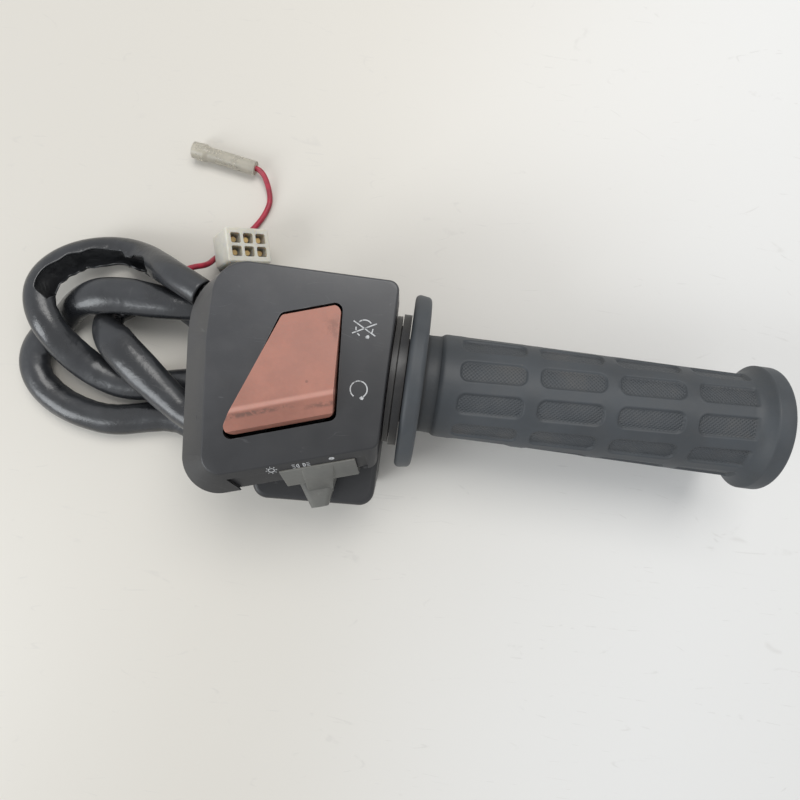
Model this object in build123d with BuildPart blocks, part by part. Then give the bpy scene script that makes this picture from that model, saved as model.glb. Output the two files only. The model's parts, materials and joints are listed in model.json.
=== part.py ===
from build123d import *
from math import cos, sin, tan, pi, radians, sqrt
import os

# Right-hand motorcycle throttle grip with its switch housing and harness.
# Millimetres.  X runs along the handlebar and points outboard, Y points up as
# worn on the bar, Z points to the rider.  The origin is on the bar's axis, in
# the outboard face of the switch housing.

# ---- handlebar and fits -------------------------------------------------
BAR_D = 22.2
CLAMP_GAP = 0.10            # radial gap of the closed case on the bar
TUBE_GAP = 0.35             # radial running gap of the throttle tube on the bar
RUN_GAP = 0.30              # gap between a moving piece and its neighbour
PIN_GAP = 0.05              # radial running gap on the rocker's pin
SEAT = 0.3                  # gap of a piece that lies against a curved seat

# ---- switch housing -----------------------------------------------------
WALL = 2.5                  # case wall
CASE_L = 61.0               # along the bar
CASE_TOP = 27.2             # from the bar's axis up to the top wall
REAR_Z = 26.0               # rider-side face
REST_Z = -32.0              # flat outer face of the front half
BEVEL_Z = 8.2               # height of the broad bevel round the face
BEVEL_SIDE = 8.2            # its width at the inboard side
BEVEL_LOW = 6.2             # its width along the lower side
LOW_Y = -27.2               # lower wall where it meets the outboard face
LOW_ANGLE = 17.5            # slope of the lower wall to the bar
LEAN = 0.087                # lean of the inboard side below its knee
KNEE_Y = 4.0
TOP_CORNER_R = 18.0
LOW_CORNER_R = 11.0
EDGE_R = 3.0                # outboard corners in plan
FACE_EDGE_R = 0.8           # softening of the face's edge

FRONT_L = 40.0              # length of the deep front half
FRONT_TOP = 24.6
FRONT_LOW = 42.6            # lower wall of the front half, outboard end
FRONT_SLOPE = 2.2           # how much lower its inboard end is
FRONT_DRAFT = 3.2           # draft of the upper and lower walls over the depth
FRONT_CORNER_R = 5.0
FRONT_EDGE_R = 3.0
TONGUE_T = 4.5              # plate of the front half under the case's inboard end
SADDLE_T = 2.5              # wall of the bar saddle
RIB_T = 2.0
RIB_H = 9.0
RIB_LOW = 15.0              # ribs stop short of the light switch
REAR_RIBS = (-54.0, -40.0, -20.0)
FRONT_RIBS = (-39.0, -22.0)
FRONT_RIB_T = 3.0
FRONT_RIB_SIDE = 3.0        # front ribs reach past the saddle by this much
DECK_EDGE_R = 1.8
THROUGH = 1.0               # how far cuts run past a face

# ---- case screws --------------------------------------------------------
SCREW_R = 2.5
SCREW_HEAD_R = 4.1
SCREW_HEAD_H = 3.2
SCREW_GRIP = 9.0            # thread length in the rear half
BOSS_T = 1.8
BOSS_EXTRA = 5.0            # boss height past the thread
HEAD_GAP = 0.4
RECESS_W = 1.0              # cross recess
RECESS_L = 4.4
RECESS_H = 1.3
UPPER_SCREW = (-27.0, 17.8)
LOWER_SCREW = (-49.1, -19.0)
UPPER_SEAT_Z = -8.0         # seat of the upper screw's head, deep in its hole
CABLE_PORT = (-10.0, 13.6)  # on the hidden front face
CABLE_PORT_R = 5.0
CABLE_PORT_L = 9.0

# ---- throttle tube and grip ----------------------------------------------
DRUM_R = 19.2
DRUM_FACE_X = -13.4         # inboard face of the cable drum
DRUM_L = 9.4
CABLE_GROOVE_R = 15.6
CABLE_GROOVE_W = 3.2
JOURNAL_R = 14.6
COLLAR1_R = 20.5
COLLAR2_R = 21.3
COLLAR1_W = 1.6
COLLAR2_W = 2.5
COLLAR_SLOT = 0.4
COLLAR_SLOT_H = 3.0
NIPPLE_R = 2.0              # pocket of the cable's nipple
NIPPLE_IN = 2.4
NIPPLE_SLOT = 1.6
TUBE_R = 13.6
TUBE_END_X = 118.0
RUBBER_GAP = 0.05
FLANGE_R = 28.3
FLANGE_W = 5.3
FLANGE_EDGE_R = 1.6
FLANGE_DRAFT = 0.8
NECK_R = 15.8
NECK_L = 4.9
GRIP_R = 16.7
END_R = 20.0
END_RIM_W = 5.6
END_EDGE_R = 1.5
SHOULDER_L = 1.2
GRIP_END_X = 122.4
FLARE_L = 5.5
PAD_ROWS = 10
PAD_COLS = 4
PAD_START = 21.4
PAD_PITCH = 24.4
PAD_L = 20.4
PAD_W = 6.8
PAD_R = 2.6
PAD_DEPTH = 0.8
PAD_TURN = 10.6             # turn of the first row from the rider's side

# ---- kill switch ----------------------------------------------------------
KILL_ANGLE = 18.0           # pivot axis against the bar
KILL_X = -25.84
KILL_Y = -1.15
PIVOT_Z = 21.5
KILL_THROW = 16.0
ROCKER_R = 16.2             # ends are turned about the pivot
ROCKER_HALF = 15.7          # half height of the plan at the case's face
ROCKER_TOP_A = -1.6         # plan, along the pivot: upper edge
ROCKER_TOP_B = 15.65
ROCKER_LOW_A = -25.4        # plan, along the pivot: lower edge
ROCKER_LOW_B = 7.45
ROCKER_CORNER = 2.2
ROCKER_WALL = 1.8
ROCKER_FLUSH = 4.7          # above the pivot: flush upper end
ROCKER_CREST = 9.5          # crease above the pivot
ROCKER_CREST_V = -9.3       # crease across the pivot
ROCKER_LEDGE = 7.0          # outer edge of the ledge
ROCKER_SKIRT = 3.0          # skirt below the pivot
WINDOW_GAP = 0.6
WINDOW_LOW = 0.5            # more gap at the rocker's lower edge
PIN_R = 1.5
BARREL_R = 3.0
BARREL_L = 13.6
WEB_T = 2.4                 # web between the barrel and the roof
STEM_L = 4.4                # stem seat of the moving contact
STEM_W = 3.6
STEM_Z = -1.0
BRIDGE_L = 9.0
BRIDGE_W = 4.0
BRIDGE_T = 0.8
BRIDGE_STEM = 2.4
CONTACT_U = 3.0
EAR_R = 3.2
EAR_W = 6.4
BASE_HOLE_R = 1.1
BASE_HEAD_GAP = 0.7         # screw head to the ear beside it
BASE_SCREW_HEAD = 1.9
BASE_SCREW_HEAD_T = 1.2
BASE_SCREW_GAP = 0.1
PAD_POST_W = 5.0            # pads under the contact plate
PAD_POST_H = 4.0
PAD_POST_SPAN_U = 11.0
PAD_POST_SPAN_V = 15.0
PAD_POST_L = 6.0
BASE_T = 1.6                # contact plates
KILL_BASE_W = 17.0          # along the pivot
KILL_BASE_H = 20.0
KILL_PAD_Z = 13.9           # top of the pads that carry the contact plate
CONTACT_R = 1.5
CONTACT_H = 1.8
CONTACT_V = -8.0

# ---- light switch slider ----------------------------------------------------
BAY_RIGHT = -3.8            # along the lower wall from its outboard end
BAY_LEFT = -41.0
BAY_SLANT = 4.6             # slanted inboard end of the bay
BAY_DEPTH = 4.5
BAY_WALL = 1.8
BAY_TOP_Z = 17.2
SLIDER_TRAVEL = 13.4
SLIDER_RIGHT = -6.1
SLIDER_LEFT = -30.9
SLIDER_Z0 = 2.2
SLIDER_Z1 = 15.8
SLIDER_PROUD = 1.4
FINGER_OUT = 9.8
FINGER_ROOT_L = 12.1
FINGER_TIP_L = 5.3
FINGER_TIP_H = 5.6
FINGER_LEAN = 1.1           # tip's offset towards the inboard side
FINGER_R = 2.0
FINGER_TIP_R = 1.4
SLIDER_EDGE = 0.7
FINGER_Z0 = 4.6
FINGER_Z1 = 14.4
NECK_Z0 = 7.2
NECK_Z1 = 10.8
NECK_W = 9.0                # along the slide
CARRIAGE_T = 2.2
CARRIAGE_H = 11.0
CARRIAGE_L = 15.0
RIDGE_H = 1.4
RIDGE_T = 0.8
LIGHT_PLATE_Z = 13.4
LIGHT_PLATE_H = 5.6
LIGHT_PLATE_GAP = 1.6
LIGHT_CONTACT_R = 1.0
LIGHT_CONTACT_T = 0.5

# ---- harness ------------------------------------------------------------------
SHEATH_D = 9.6
GLAND_Y = -25.0
GLAND_Z = -15.0
GLAND_END_X = -50.0
GLAND_HOLE_R = 5.9
GLAND_FLANGE_R = 7.0
GLAND_BORE_R = 3.4
GLAND_IN_T = 1.4            # inner flange
GLAND_OUT_T = 1.8           # outer flange
GLAND_TAPER_R = 6.2
GLAND_TIP_R = 5.3
GLAND_GAP = 0.1
WIRE_R = 0.8
CONN_W = 16.0
CONN_H = 12.0
CONN_L = 12.0
CONN_PITCH = 4.6
CONN_WALL = 1.0
CONN_CORNER = 1.0
CONN_CELL_DEPTH = 7.0
CONN_EDGE = 0.4
CELL_R = 0.7
LATCH_W = 4.6
LATCH_H = 1.2
LATCH_L = 5.0
LATCH_Z = 3.0
TERMINAL_R = 0.95
TERMINAL_CUP_R = 1.25
TERMINAL_CUP_L = 3.0
TERMINAL_TOP = 2.2
RED_R = 1.0
SLEEVE_R = 2.6
SLEEVE_BORE = 2.05
SLEEVE_L = 24.0
SLEEVE_FLARE = 0.55
SLEEVE_STEP = 6.0
SLEEVE_TAPER = 1.4
SLEEVE_END = 2.0
CRIMP_L = 6.0

CLAMP_R = BAR_D / 2 + CLAMP_GAP
TUBE_BORE_R = BAR_D / 2 + TUBE_GAP
JOURNAL_HOLE_R = JOURNAL_R + RUN_GAP
HEAD_HOLE_R = SCREW_HEAD_R + HEAD_GAP
SADDLE_R = CLAMP_R + SADDLE_T
DRUM_ROOM_R = DRUM_R + 1.0
SLOPE = tan(radians(LOW_ANGLE))
CX = cos(radians(LOW_ANGLE))
CY = sin(radians(LOW_ANGLE))
COLLAR_X = RUN_GAP
COLLAR2_X = COLLAR_X + COLLAR1_W + COLLAR_SLOT
COLLAR_END_X = COLLAR2_X + COLLAR2_W
FLANGE_X = COLLAR_END_X + SEAT
SLIDER_MID = (SLIDER_LEFT + SLIDER_RIGHT) / 2


def case_points(side, low):
    """Plan of the case: corners from the lower outboard one, anticlockwise."""
    left = -CASE_L + side
    low_y = LOW_Y + low / CX
    corner_y = (low_y + SLOPE * (left + LEAN * KNEE_Y)) / (1 + SLOPE * LEAN)
    corner_x = left + LEAN * (KNEE_Y - corner_y)
    return left, low_y, (corner_x, corner_y)


def case_sketch(z, side, low, inset):
    """Plan of the case at one height, drawn inwards by side, low and inset."""
    left, low_y, corner = case_points(side + inset, low + inset)
    top = CASE_TOP - inset
    with BuildSketch(Plane.XY.offset(z)) as plan:
        with BuildLine():
            FilletPolyline(
                (-inset, low_y + SLOPE * -inset),
                (-inset, top),
                (left, top),
                (left, KNEE_Y),
                corner,
                radius=[
                    EDGE_R - inset * 0.5,
                    EDGE_R - inset * 0.5,
                    TOP_CORNER_R - side - inset,
                    30.0,
                    LOW_CORNER_R - 0.7 * side - inset,
                ],
                close=True,
            )
        make_face()
    return plan.sketch


def case_form(inset, z_low, mode):
    """Solid form of the rear half: upright walls below a broad bevel."""
    z_top = REAR_Z - inset
    z_knee = REAR_Z - BEVEL_Z - inset * tan(radians(22.5))
    share = (z_top - z_knee) / BEVEL_Z
    extrude(case_sketch(z_low, 0, 0, inset), amount=z_knee - z_low, mode=mode)
    knee = case_sketch(z_knee, 0, 0, inset)
    face = case_sketch(z_top, BEVEL_SIDE * share, BEVEL_LOW * share, inset)
    loft([knee.face(), face.face()], mode=mode)


def bar_cylinder(radius, x0, x1, mode):
    """Cylinder on the bar's axis from x0 to x1."""
    with BuildSketch(Plane.YZ.offset(x0)) as ring:
        Circle(radius)
    extrude(ring.sketch, amount=x1 - x0, mode=mode)


# Frames of the rocker and of the slider's bay.
KILL_U = (cos(radians(KILL_ANGLE)), sin(radians(KILL_ANGLE)), 0)
kill_plan = Plane(origin=(KILL_X, KILL_Y, PIVOT_Z), x_dir=KILL_U, z_dir=(0, 0, 1))
kill_side = Plane(
    origin=(KILL_X, KILL_Y, PIVOT_Z),
    x_dir=(-KILL_U[1], KILL_U[0], 0),
    z_dir=KILL_U,
)
BAY_OUT = (CY, -CX, 0)
bay = Plane(origin=(0, LOW_Y, 0), x_dir=(CX, CY, 0), z_dir=BAY_OUT)
bay_plan = Plane(origin=(0, LOW_Y, 0), x_dir=(CX, CY, 0), z_dir=(0, 0, 1))


def rocker_plan(z, grow, low):
    """Plan of the rocker or, grown by the gap and by low at its lower edge, of its window."""
    half = ROCKER_HALF + grow
    with BuildSketch(kill_plan.offset(z)) as plan:
        with BuildLine():
            FilletPolyline(
                (ROCKER_LOW_A - grow * 1.9, -half - low),
                (ROCKER_LOW_B + grow, -half - low),
                (ROCKER_TOP_B + grow, half),
                (ROCKER_TOP_A - grow * 0.6, half),
                radius=ROCKER_CORNER + min(0, max(grow, -1.2)),
                close=True,
            )
        make_face()
    return plan.sketch


def bay_section(z, right, left, out, depth, slant):
    """Plan of the slider's bay, and of the slider's body, along the lower wall."""
    with BuildSketch(bay_plan.offset(z)) as plan:
        with BuildLine():
            Polyline(
                (left, -out),
                (right, -out),
                (right, depth),
                (left - slant, depth),
                close=True,
            )
        make_face()
    return plan.sketch


# ---- rear half of the case ----------------------------------------------
with BuildPart() as rear_housing:
    case_form(0, 0, Mode.ADD)
    fillet(rear_housing.edges().group_by(Axis.Z)[-1], radius=FACE_EDGE_R)
    case_form(WALL, 0, Mode.SUBTRACT)
    # bar saddle with cross ribs down to the split
    with BuildSketch(Plane.YZ.offset(-CASE_L + WALL)):
        Circle(SADDLE_R)
        Rectangle(
            2 * SADDLE_R, 2 * SADDLE_R, align=(Align.CENTER, Align.MAX), mode=Mode.SUBTRACT
        )
    extrude(amount=CASE_L - WALL + DRUM_FACE_X - RUN_GAP)
    for rib_x in REAR_RIBS:
        with BuildSketch(Plane.YZ.offset(rib_x)):
            with Locations((-RIB_LOW, 0)):
                Rectangle(RIB_LOW + CASE_TOP - WALL / 2, RIB_H, align=(Align.MIN, Align.MIN))
        extrude(amount=RIB_T)
    # pads for the kill switch's contact plate
    with BuildSketch(kill_plan.offset(KILL_PAD_Z - PIVOT_Z)):
        with GridLocations(PAD_POST_SPAN_U, PAD_POST_SPAN_V, 2, 2):
            Rectangle(PAD_POST_W, PAD_POST_H)
    extrude(amount=-PAD_POST_L)
    # bosses for the case screws
    with BuildSketch(Plane.XY):
        with Locations(UPPER_SCREW):
            Circle(SCREW_R + BOSS_T)
    extrude(amount=SCREW_GRIP + BOSS_EXTRA)
    with BuildSketch(Plane.XY):
        with Locations(LOWER_SCREW):
            Circle(SCREW_R + BOSS_T)
    extrude(amount=REAR_Z - WALL)
    # bay of the light switch: inner wall first, then the open recess
    shell_right = BAY_RIGHT + BAY_WALL
    shell_left = BAY_LEFT - BAY_WALL
    shell_depth = BAY_DEPTH + BAY_WALL
    bay_shell = bay_section(0, shell_right, shell_left, -WALL / 2, shell_depth, BAY_SLANT)
    extrude(bay_shell, amount=BAY_TOP_Z + BAY_WALL)
    bay_room = bay_section(0, BAY_RIGHT, BAY_LEFT, 2 * WALL, BAY_DEPTH, BAY_SLANT)
    extrude(bay_room, amount=BAY_TOP_Z, mode=Mode.SUBTRACT)
    slot_mid = (SLIDER_LEFT + SLIDER_RIGHT - SLIDER_TRAVEL) / 2
    with BuildSketch(bay.offset(-BAY_DEPTH + THROUGH)):
        with Locations((slot_mid, (NECK_Z0 + NECK_Z1) / 2)):
            SlotOverall(
                SLIDER_TRAVEL + NECK_W + NECK_Z1 - NECK_Z0 + 4 * RUN_GAP,
                NECK_Z1 - NECK_Z0 + 2 * RUN_GAP,
            )
    extrude(amount=-(BAY_WALL + 2 * THROUGH), mode=Mode.SUBTRACT)
    # seats of the bar, the cable drum and the tube's journal
    bar_cylinder(CLAMP_R, -CASE_L - THROUGH, DRUM_FACE_X, Mode.SUBTRACT)
    bar_cylinder(DRUM_ROOM_R, DRUM_FACE_X - RUN_GAP, -WALL, Mode.SUBTRACT)
    bar_cylinder(JOURNAL_HOLE_R, -WALL - THROUGH, THROUGH, Mode.SUBTRACT)
    with BuildSketch(Plane.XY):
        with Locations(UPPER_SCREW, LOWER_SCREW):
            Circle(SCREW_R)
    extrude(amount=SCREW_GRIP + 2 * THROUGH, mode=Mode.SUBTRACT)
    # window of the rocker, longer at its lower edge, where the rocker swings out
    window = rocker_plan(REAR_Z - PIVOT_Z + THROUGH, WINDOW_GAP, WINDOW_LOW)
    extrude(window, amount=-(2 * WALL + THROUGH), mode=Mode.SUBTRACT)
rear_housing.part.label = "rear_housing"


# ---- front half of the case ----------------------------------------------
def front_sketch(z, draft, inset):
    """Plan of the deep front half at one height."""
    low = -FRONT_LOW + draft + inset
    with BuildSketch(Plane.XY.offset(z)) as plan:
        with BuildLine():
            FilletPolyline(
                (-inset, low),
                (-inset, FRONT_TOP - draft - inset),
                (-FRONT_L + inset, FRONT_TOP - draft - inset),
                (-FRONT_L + inset, low - FRONT_SLOPE),
                radius=[
                    FRONT_CORNER_R - inset,
                    FRONT_EDGE_R,
                    FRONT_EDGE_R,
                    FRONT_CORNER_R - inset,
                ],
                close=True,
            )
        make_face()
    return plan.sketch


# plate under the inboard end of the rear half
with BuildPart() as tongue:
    extrude(case_sketch(0, 0, 0, 0), amount=-TONGUE_T)
    with BuildSketch(Plane.XY):
        with Locations((-FRONT_L + WALL, 0)):
            Rectangle(2 * CASE_L, 4 * CASE_TOP, align=(Align.MIN, Align.CENTER))
    extrude(amount=-TONGUE_T, mode=Mode.SUBTRACT)

with BuildPart() as front_housing:
    deep = front_sketch(0, 0, 0)
    bottom = front_sketch(REST_Z, FRONT_DRAFT, 0)
    loft([deep.face(), bottom.face()])
    fillet(front_housing.faces().sort_by(Axis.Z)[0].edges(), radius=FRONT_EDGE_R)
    deck_edges = front_housing.faces().sort_by(Axis.Z)[-1].edges()
    fillet(deck_edges.filter_by_position(Axis.Y, -2 * FRONT_LOW, -FRONT_LOW / 2), radius=DECK_EDGE_R)
    add(tongue.part)
    # saddle under the bar
    with BuildSketch(Plane.YZ.offset(-CASE_L + WALL)):
        Circle(SADDLE_R)
        Rectangle(
            2 * SADDLE_R, 2 * SADDLE_R, align=(Align.CENTER, Align.MIN), mode=Mode.SUBTRACT
        )
    extrude(amount=CASE_L - FRONT_L)
    # room inside the deep half, open towards the rear half
    inner = front_sketch(-WALL, 0, WALL)
    inner_low = front_sketch(REST_Z + WALL, FRONT_DRAFT, WALL)
    loft([inner.face(), inner_low.face()], mode=Mode.SUBTRACT)
    mouth = case_sketch(0, 0, 0, WALL)
    room = front_sketch(0, 0, WALL)
    with BuildSketch(Plane.XY.offset(THROUGH)):
        add(mouth)
        add(room, mode=Mode.INTERSECT)
    extrude(amount=-(WALL + 2 * THROUGH), mode=Mode.SUBTRACT)
    # saddle ribs of the deep half
    for rib_x in FRONT_RIBS:
        with BuildSketch(Plane.YZ.offset(rib_x)):
            with Locations((0, REST_Z + WALL / 2)):
                Rectangle(
                    2 * (SADDLE_R + FRONT_RIB_SIDE),
                    -REST_Z - WALL / 2,
                    align=(Align.CENTER, Align.MIN),
                )
        extrude(amount=FRONT_RIB_T)
    # bosses of the upper screw and of the cable's port
    with BuildSketch(Plane.XY.offset(REST_Z + WALL / 2)):
        with Locations(CABLE_PORT):
            Circle(CABLE_PORT_R + WALL)
    extrude(amount=CABLE_PORT_L - WALL / 2)
    with BuildSketch(Plane.XY.offset(REST_Z + WALL / 2)):
        with Locations(UPPER_SCREW):
            Circle(HEAD_HOLE_R + BOSS_T / 2)
    extrude(amount=-REST_Z - WALL / 2)
    bar_cylinder(CLAMP_R, -CASE_L - THROUGH, DRUM_FACE_X, Mode.SUBTRACT)
    bar_cylinder(DRUM_ROOM_R, DRUM_FACE_X - RUN_GAP, -WALL, Mode.SUBTRACT)
    bar_cylinder(JOURNAL_HOLE_R, -WALL - THROUGH, THROUGH, Mode.SUBTRACT)
    with BuildSketch(Plane.XY.offset(THROUGH)):
        with Locations(UPPER_SCREW, LOWER_SCREW):
            Circle(SCREW_R + SEAT)
    extrude(amount=REST_Z - 2 * THROUGH, mode=Mode.SUBTRACT)
    with BuildSketch(Plane.XY.offset(REST_Z)):
        with Locations(UPPER_SCREW):
            Circle(HEAD_HOLE_R)
    extrude(amount=UPPER_SEAT_Z - REST_Z, mode=Mode.SUBTRACT)
    with BuildSketch(Plane.XY.offset(REST_Z)):
        with Locations(CABLE_PORT):
            Circle(CABLE_PORT_R)
    extrude(amount=CABLE_PORT_L + THROUGH, mode=Mode.SUBTRACT)
    # outlet of the harness
    with BuildSketch(Plane.YZ.offset(-FRONT_L - THROUGH)):
        with Locations((GLAND_Y, GLAND_Z)):
            Circle(GLAND_HOLE_R)
    extrude(amount=WALL + 2 * THROUGH, mode=Mode.SUBTRACT)
front_housing.part.label = "front_housing"


def case_screw(place, seat_z):
    """Pan-head screw with a cross recess, head towards the front."""
    with BuildPart(Plane.XY.offset(seat_z)) as screw:
        with Locations(place):
            Cylinder(SCREW_R, SCREW_GRIP - seat_z, align=(Align.CENTER, Align.CENTER, Align.MIN))
            Cylinder(SCREW_HEAD_R, SCREW_HEAD_H, align=(Align.CENTER, Align.CENTER, Align.MAX))
        fillet(screw.edges().group_by(Axis.Z)[0], radius=SCREW_HEAD_H / 3)
        with Locations((place[0], place[1], -SCREW_HEAD_H)):
            Box(RECESS_L, RECESS_W, 2 * RECESS_H, mode=Mode.SUBTRACT)
            Box(RECESS_W, RECESS_L, 2 * RECESS_H, mode=Mode.SUBTRACT)
    return screw.part


case_screws = Compound(
    label="case_screws",
    children=[case_screw(UPPER_SCREW, UPPER_SEAT_Z), case_screw(LOWER_SCREW, -TONGUE_T)],
)


# ---- throttle tube ---------------------------------------------------------
with BuildPart() as throttle_tube:
    drum_end = DRUM_FACE_X + DRUM_L
    groove_x = DRUM_FACE_X + DRUM_L / 2
    with BuildSketch(Plane.XY):
        with BuildLine():
            Polyline(
                (DRUM_FACE_X, TUBE_BORE_R),
                (DRUM_FACE_X, DRUM_R),
                (groove_x - CABLE_GROOVE_W / 2, DRUM_R),
                (groove_x - CABLE_GROOVE_W / 2, CABLE_GROOVE_R),
                (groove_x + CABLE_GROOVE_W / 2, CABLE_GROOVE_R),
                (groove_x + CABLE_GROOVE_W / 2, DRUM_R),
                (drum_end, DRUM_R),
                (drum_end, JOURNAL_R),
                (COLLAR_X, JOURNAL_R),
                (COLLAR_X, COLLAR1_R),
                (COLLAR_X + COLLAR1_W, COLLAR1_R),
                (COLLAR_X + COLLAR1_W, COLLAR1_R - COLLAR_SLOT_H),
                (COLLAR2_X, COLLAR1_R - COLLAR_SLOT_H),
                (COLLAR2_X, COLLAR2_R),
                (COLLAR_END_X, COLLAR2_R),
                (COLLAR_END_X, TUBE_R),
                (TUBE_END_X, TUBE_R),
                (TUBE_END_X, TUBE_BORE_R),
                close=True,
            )
        make_face()
    revolve(axis=Axis.X)
    # pocket for the cable's nipple
    with BuildSketch(Plane.YZ.offset(DRUM_FACE_X)):
        with Locations((-DRUM_R + NIPPLE_IN, 0)):
            Circle(NIPPLE_R)
        with Locations((-DRUM_R + NIPPLE_IN / 2, 0)):
            Rectangle(NIPPLE_IN, NIPPLE_SLOT)
    extrude(amount=DRUM_L / 2 + CABLE_GROOVE_W / 2, mode=Mode.SUBTRACT)
throttle_tube.part.label = "throttle_tube"


# ---- rubber grip -------------------------------------------------------------
FLANGE_END_X = FLANGE_X + FLANGE_W
NECK_END_X = FLANGE_END_X + NECK_L
RIM_X = GRIP_END_X - END_RIM_W
GRIP_BORE_R = TUBE_R + RUBBER_GAP

# hand guard ring between the collars and the grip
with BuildPart() as grip_flange:
    with BuildSketch(Plane.XY):
        with BuildLine():
            Polyline(
                (FLANGE_X, GRIP_BORE_R),
                (FLANGE_X, FLANGE_R),
                (FLANGE_END_X, FLANGE_R - FLANGE_DRAFT),
                (FLANGE_END_X, GRIP_BORE_R),
                close=True,
            )
        make_face()
    revolve(axis=Axis.X)
    rim_edges = grip_flange.edges().filter_by(GeomType.CIRCLE)
    fillet(rim_edges.filter_by(lambda e: e.radius > NECK_R), radius=FLANGE_EDGE_R)
grip_flange.part.label = "grip_flange"

with BuildPart() as grip_rubber:
    with BuildSketch(Plane.XY):
        with BuildLine():
            Polyline(
                (FLANGE_END_X, GRIP_BORE_R),
                (FLANGE_END_X, NECK_R),
                (NECK_END_X, NECK_R),
                (NECK_END_X + SHOULDER_L, GRIP_R),
                (RIM_X - FLARE_L, GRIP_R),
            )
            Spline(
                (RIM_X - FLARE_L, GRIP_R),
                (RIM_X, END_R),
                tangents=((1, 0), (1, 1.2)),
            )
            Line((RIM_X, END_R), (GRIP_END_X - END_EDGE_R, END_R))
            ThreePointArc(
                (GRIP_END_X - END_EDGE_R, END_R),
                (
                    GRIP_END_X - END_EDGE_R * (1 - sqrt(0.5)),
                    END_R - END_EDGE_R * (1 - sqrt(0.5)),
                ),
                (GRIP_END_X, END_R - END_EDGE_R),
            )
            Polyline(
                (GRIP_END_X, END_R - END_EDGE_R),
                (GRIP_END_X, 0),
                (TUBE_END_X + SEAT, 0),
                (TUBE_END_X + SEAT, GRIP_BORE_R),
                (FLANGE_END_X, GRIP_BORE_R),
            )
        make_face()
    revolve(axis=Axis.X)
    # sunk pads in rows round the grip
    for column in range(PAD_COLS):
        pad_x = PAD_START + PAD_L / 2 + column * PAD_PITCH
        with BuildPart(mode=Mode.PRIVATE) as pad:
            with BuildSketch(Plane.XY):
                with Locations((pad_x, 0)):
                    RectangleRounded(PAD_L, PAD_W, PAD_R)
            extrude(amount=GRIP_R + THROUGH)
            with BuildSketch(Plane.YZ.offset(pad_x - PAD_L)) as core:
                Circle(GRIP_R - PAD_DEPTH)
            extrude(core.sketch, amount=2 * PAD_L, mode=Mode.SUBTRACT)
        for row in range(PAD_ROWS):
            turn = PAD_TURN + row * 360 / PAD_ROWS
            add(pad.part.rotate(Axis.X, turn), mode=Mode.SUBTRACT)
grip_rubber.part.label = "grip_rubber"


# ---- kill switch rocker ---------------------------------------------------------
def rocker_profile(grow, top_drop):
    """Side view of the rocker across its pivot; ends are arcs about the pivot."""
    r = ROCKER_R - grow
    low = -ROCKER_SKIRT - grow * 2
    top_v = sqrt(r * r - (ROCKER_FLUSH - top_drop) ** 2)
    ledge_v = sqrt(r * r - (ROCKER_LEDGE - top_drop) ** 2)
    skirt_v = sqrt(r * r - low * low)
    with BuildSketch(kill_side.offset(2 * ROCKER_LOW_A)) as profile:
        with BuildLine():
            Polyline(
                (top_v, ROCKER_FLUSH - top_drop),
                (ROCKER_CREST_V, ROCKER_CREST - top_drop),
                (-ledge_v, ROCKER_LEDGE - top_drop),
            )
            ThreePointArc((-ledge_v, ROCKER_LEDGE - top_drop), (-r, 0), (-skirt_v, low))
            Line((-skirt_v, low), (skirt_v, low))
            ThreePointArc((skirt_v, low), (r, 0), (top_v, ROCKER_FLUSH - top_drop))
        make_face()
    return profile.sketch


# plan plane of the rocker, turned back by the throw: level once the rocker is thrown
throw = radians(KILL_THROW)
kill_off = Plane(
    origin=(KILL_X, KILL_Y, PIVOT_Z),
    x_dir=KILL_U,
    z_dir=(-KILL_U[1] * sin(throw), KILL_U[0] * sin(throw), cos(throw)),
)

with BuildPart() as rocker_room:
    extrude(rocker_profile(ROCKER_WALL, ROCKER_WALL), amount=-4 * ROCKER_LOW_A)
    extrude(rocker_plan(-ROCKER_R, -ROCKER_WALL, 0), amount=2 * ROCKER_R, mode=Mode.INTERSECT)

with BuildPart() as kill_rocker:
    extrude(rocker_profile(0, 0), amount=-4 * ROCKER_LOW_A)
    extrude(rocker_plan(-ROCKER_R, 0, 0), amount=2 * ROCKER_R, mode=Mode.INTERSECT)
    crest = kill_rocker.edges().group_by(Axis.Z)[-1]
    fillet(crest, radius=1.0)
    add(rocker_room.part, mode=Mode.SUBTRACT)
    # barrel on the pin, hung from the roof by a web
    with BuildSketch(kill_side.offset(-BARREL_L / 2)):
        Circle(BARREL_R)
        Rectangle(WEB_T, ROCKER_FLUSH + ROCKER_WALL / 2, align=(Align.CENTER, Align.MIN))
    extrude(amount=BARREL_L)
    # stem seat of the moving contact
    with BuildSketch(kill_off.offset(STEM_Z)):
        with Locations((0, CONTACT_V)):
            Rectangle(STEM_L, STEM_W)
    extrude(until=Until.NEXT)
    with BuildSketch(kill_side.offset(-BARREL_L / 2 - THROUGH)):
        Circle(PIN_R + PIN_GAP)
    extrude(amount=BARREL_L + 2 * THROUGH, mode=Mode.SUBTRACT)
kill_rocker.part.label = "kill_rocker"

BRIDGE_Z = KILL_PAD_Z + BASE_T + CONTACT_H + SEAT - PIVOT_Z
with BuildPart() as kill_moving_contact:
    with BuildSketch(kill_off.offset(BRIDGE_Z)):
        with Locations((0, CONTACT_V)):
            RectangleRounded(BRIDGE_L, BRIDGE_W, BRIDGE_T)
    extrude(amount=BRIDGE_T)
    with BuildSketch(kill_off.offset(BRIDGE_Z)):
        with Locations((0, CONTACT_V)):
            Rectangle(BRIDGE_STEM, BRIDGE_STEM)
    extrude(amount=STEM_Z - BRIDGE_Z)
kill_moving_contact.part.label = "kill_moving_contact"

with BuildPart() as kill_pivot_pin:
    with BuildSketch(kill_side.offset(-KILL_BASE_W / 2)):
        Circle(PIN_R)
    extrude(amount=KILL_BASE_W)
    chamfer(kill_pivot_pin.edges().filter_by(GeomType.CIRCLE), length=PIN_R / 5)
kill_pivot_pin.part.label = "kill_pivot_pin"

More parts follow.
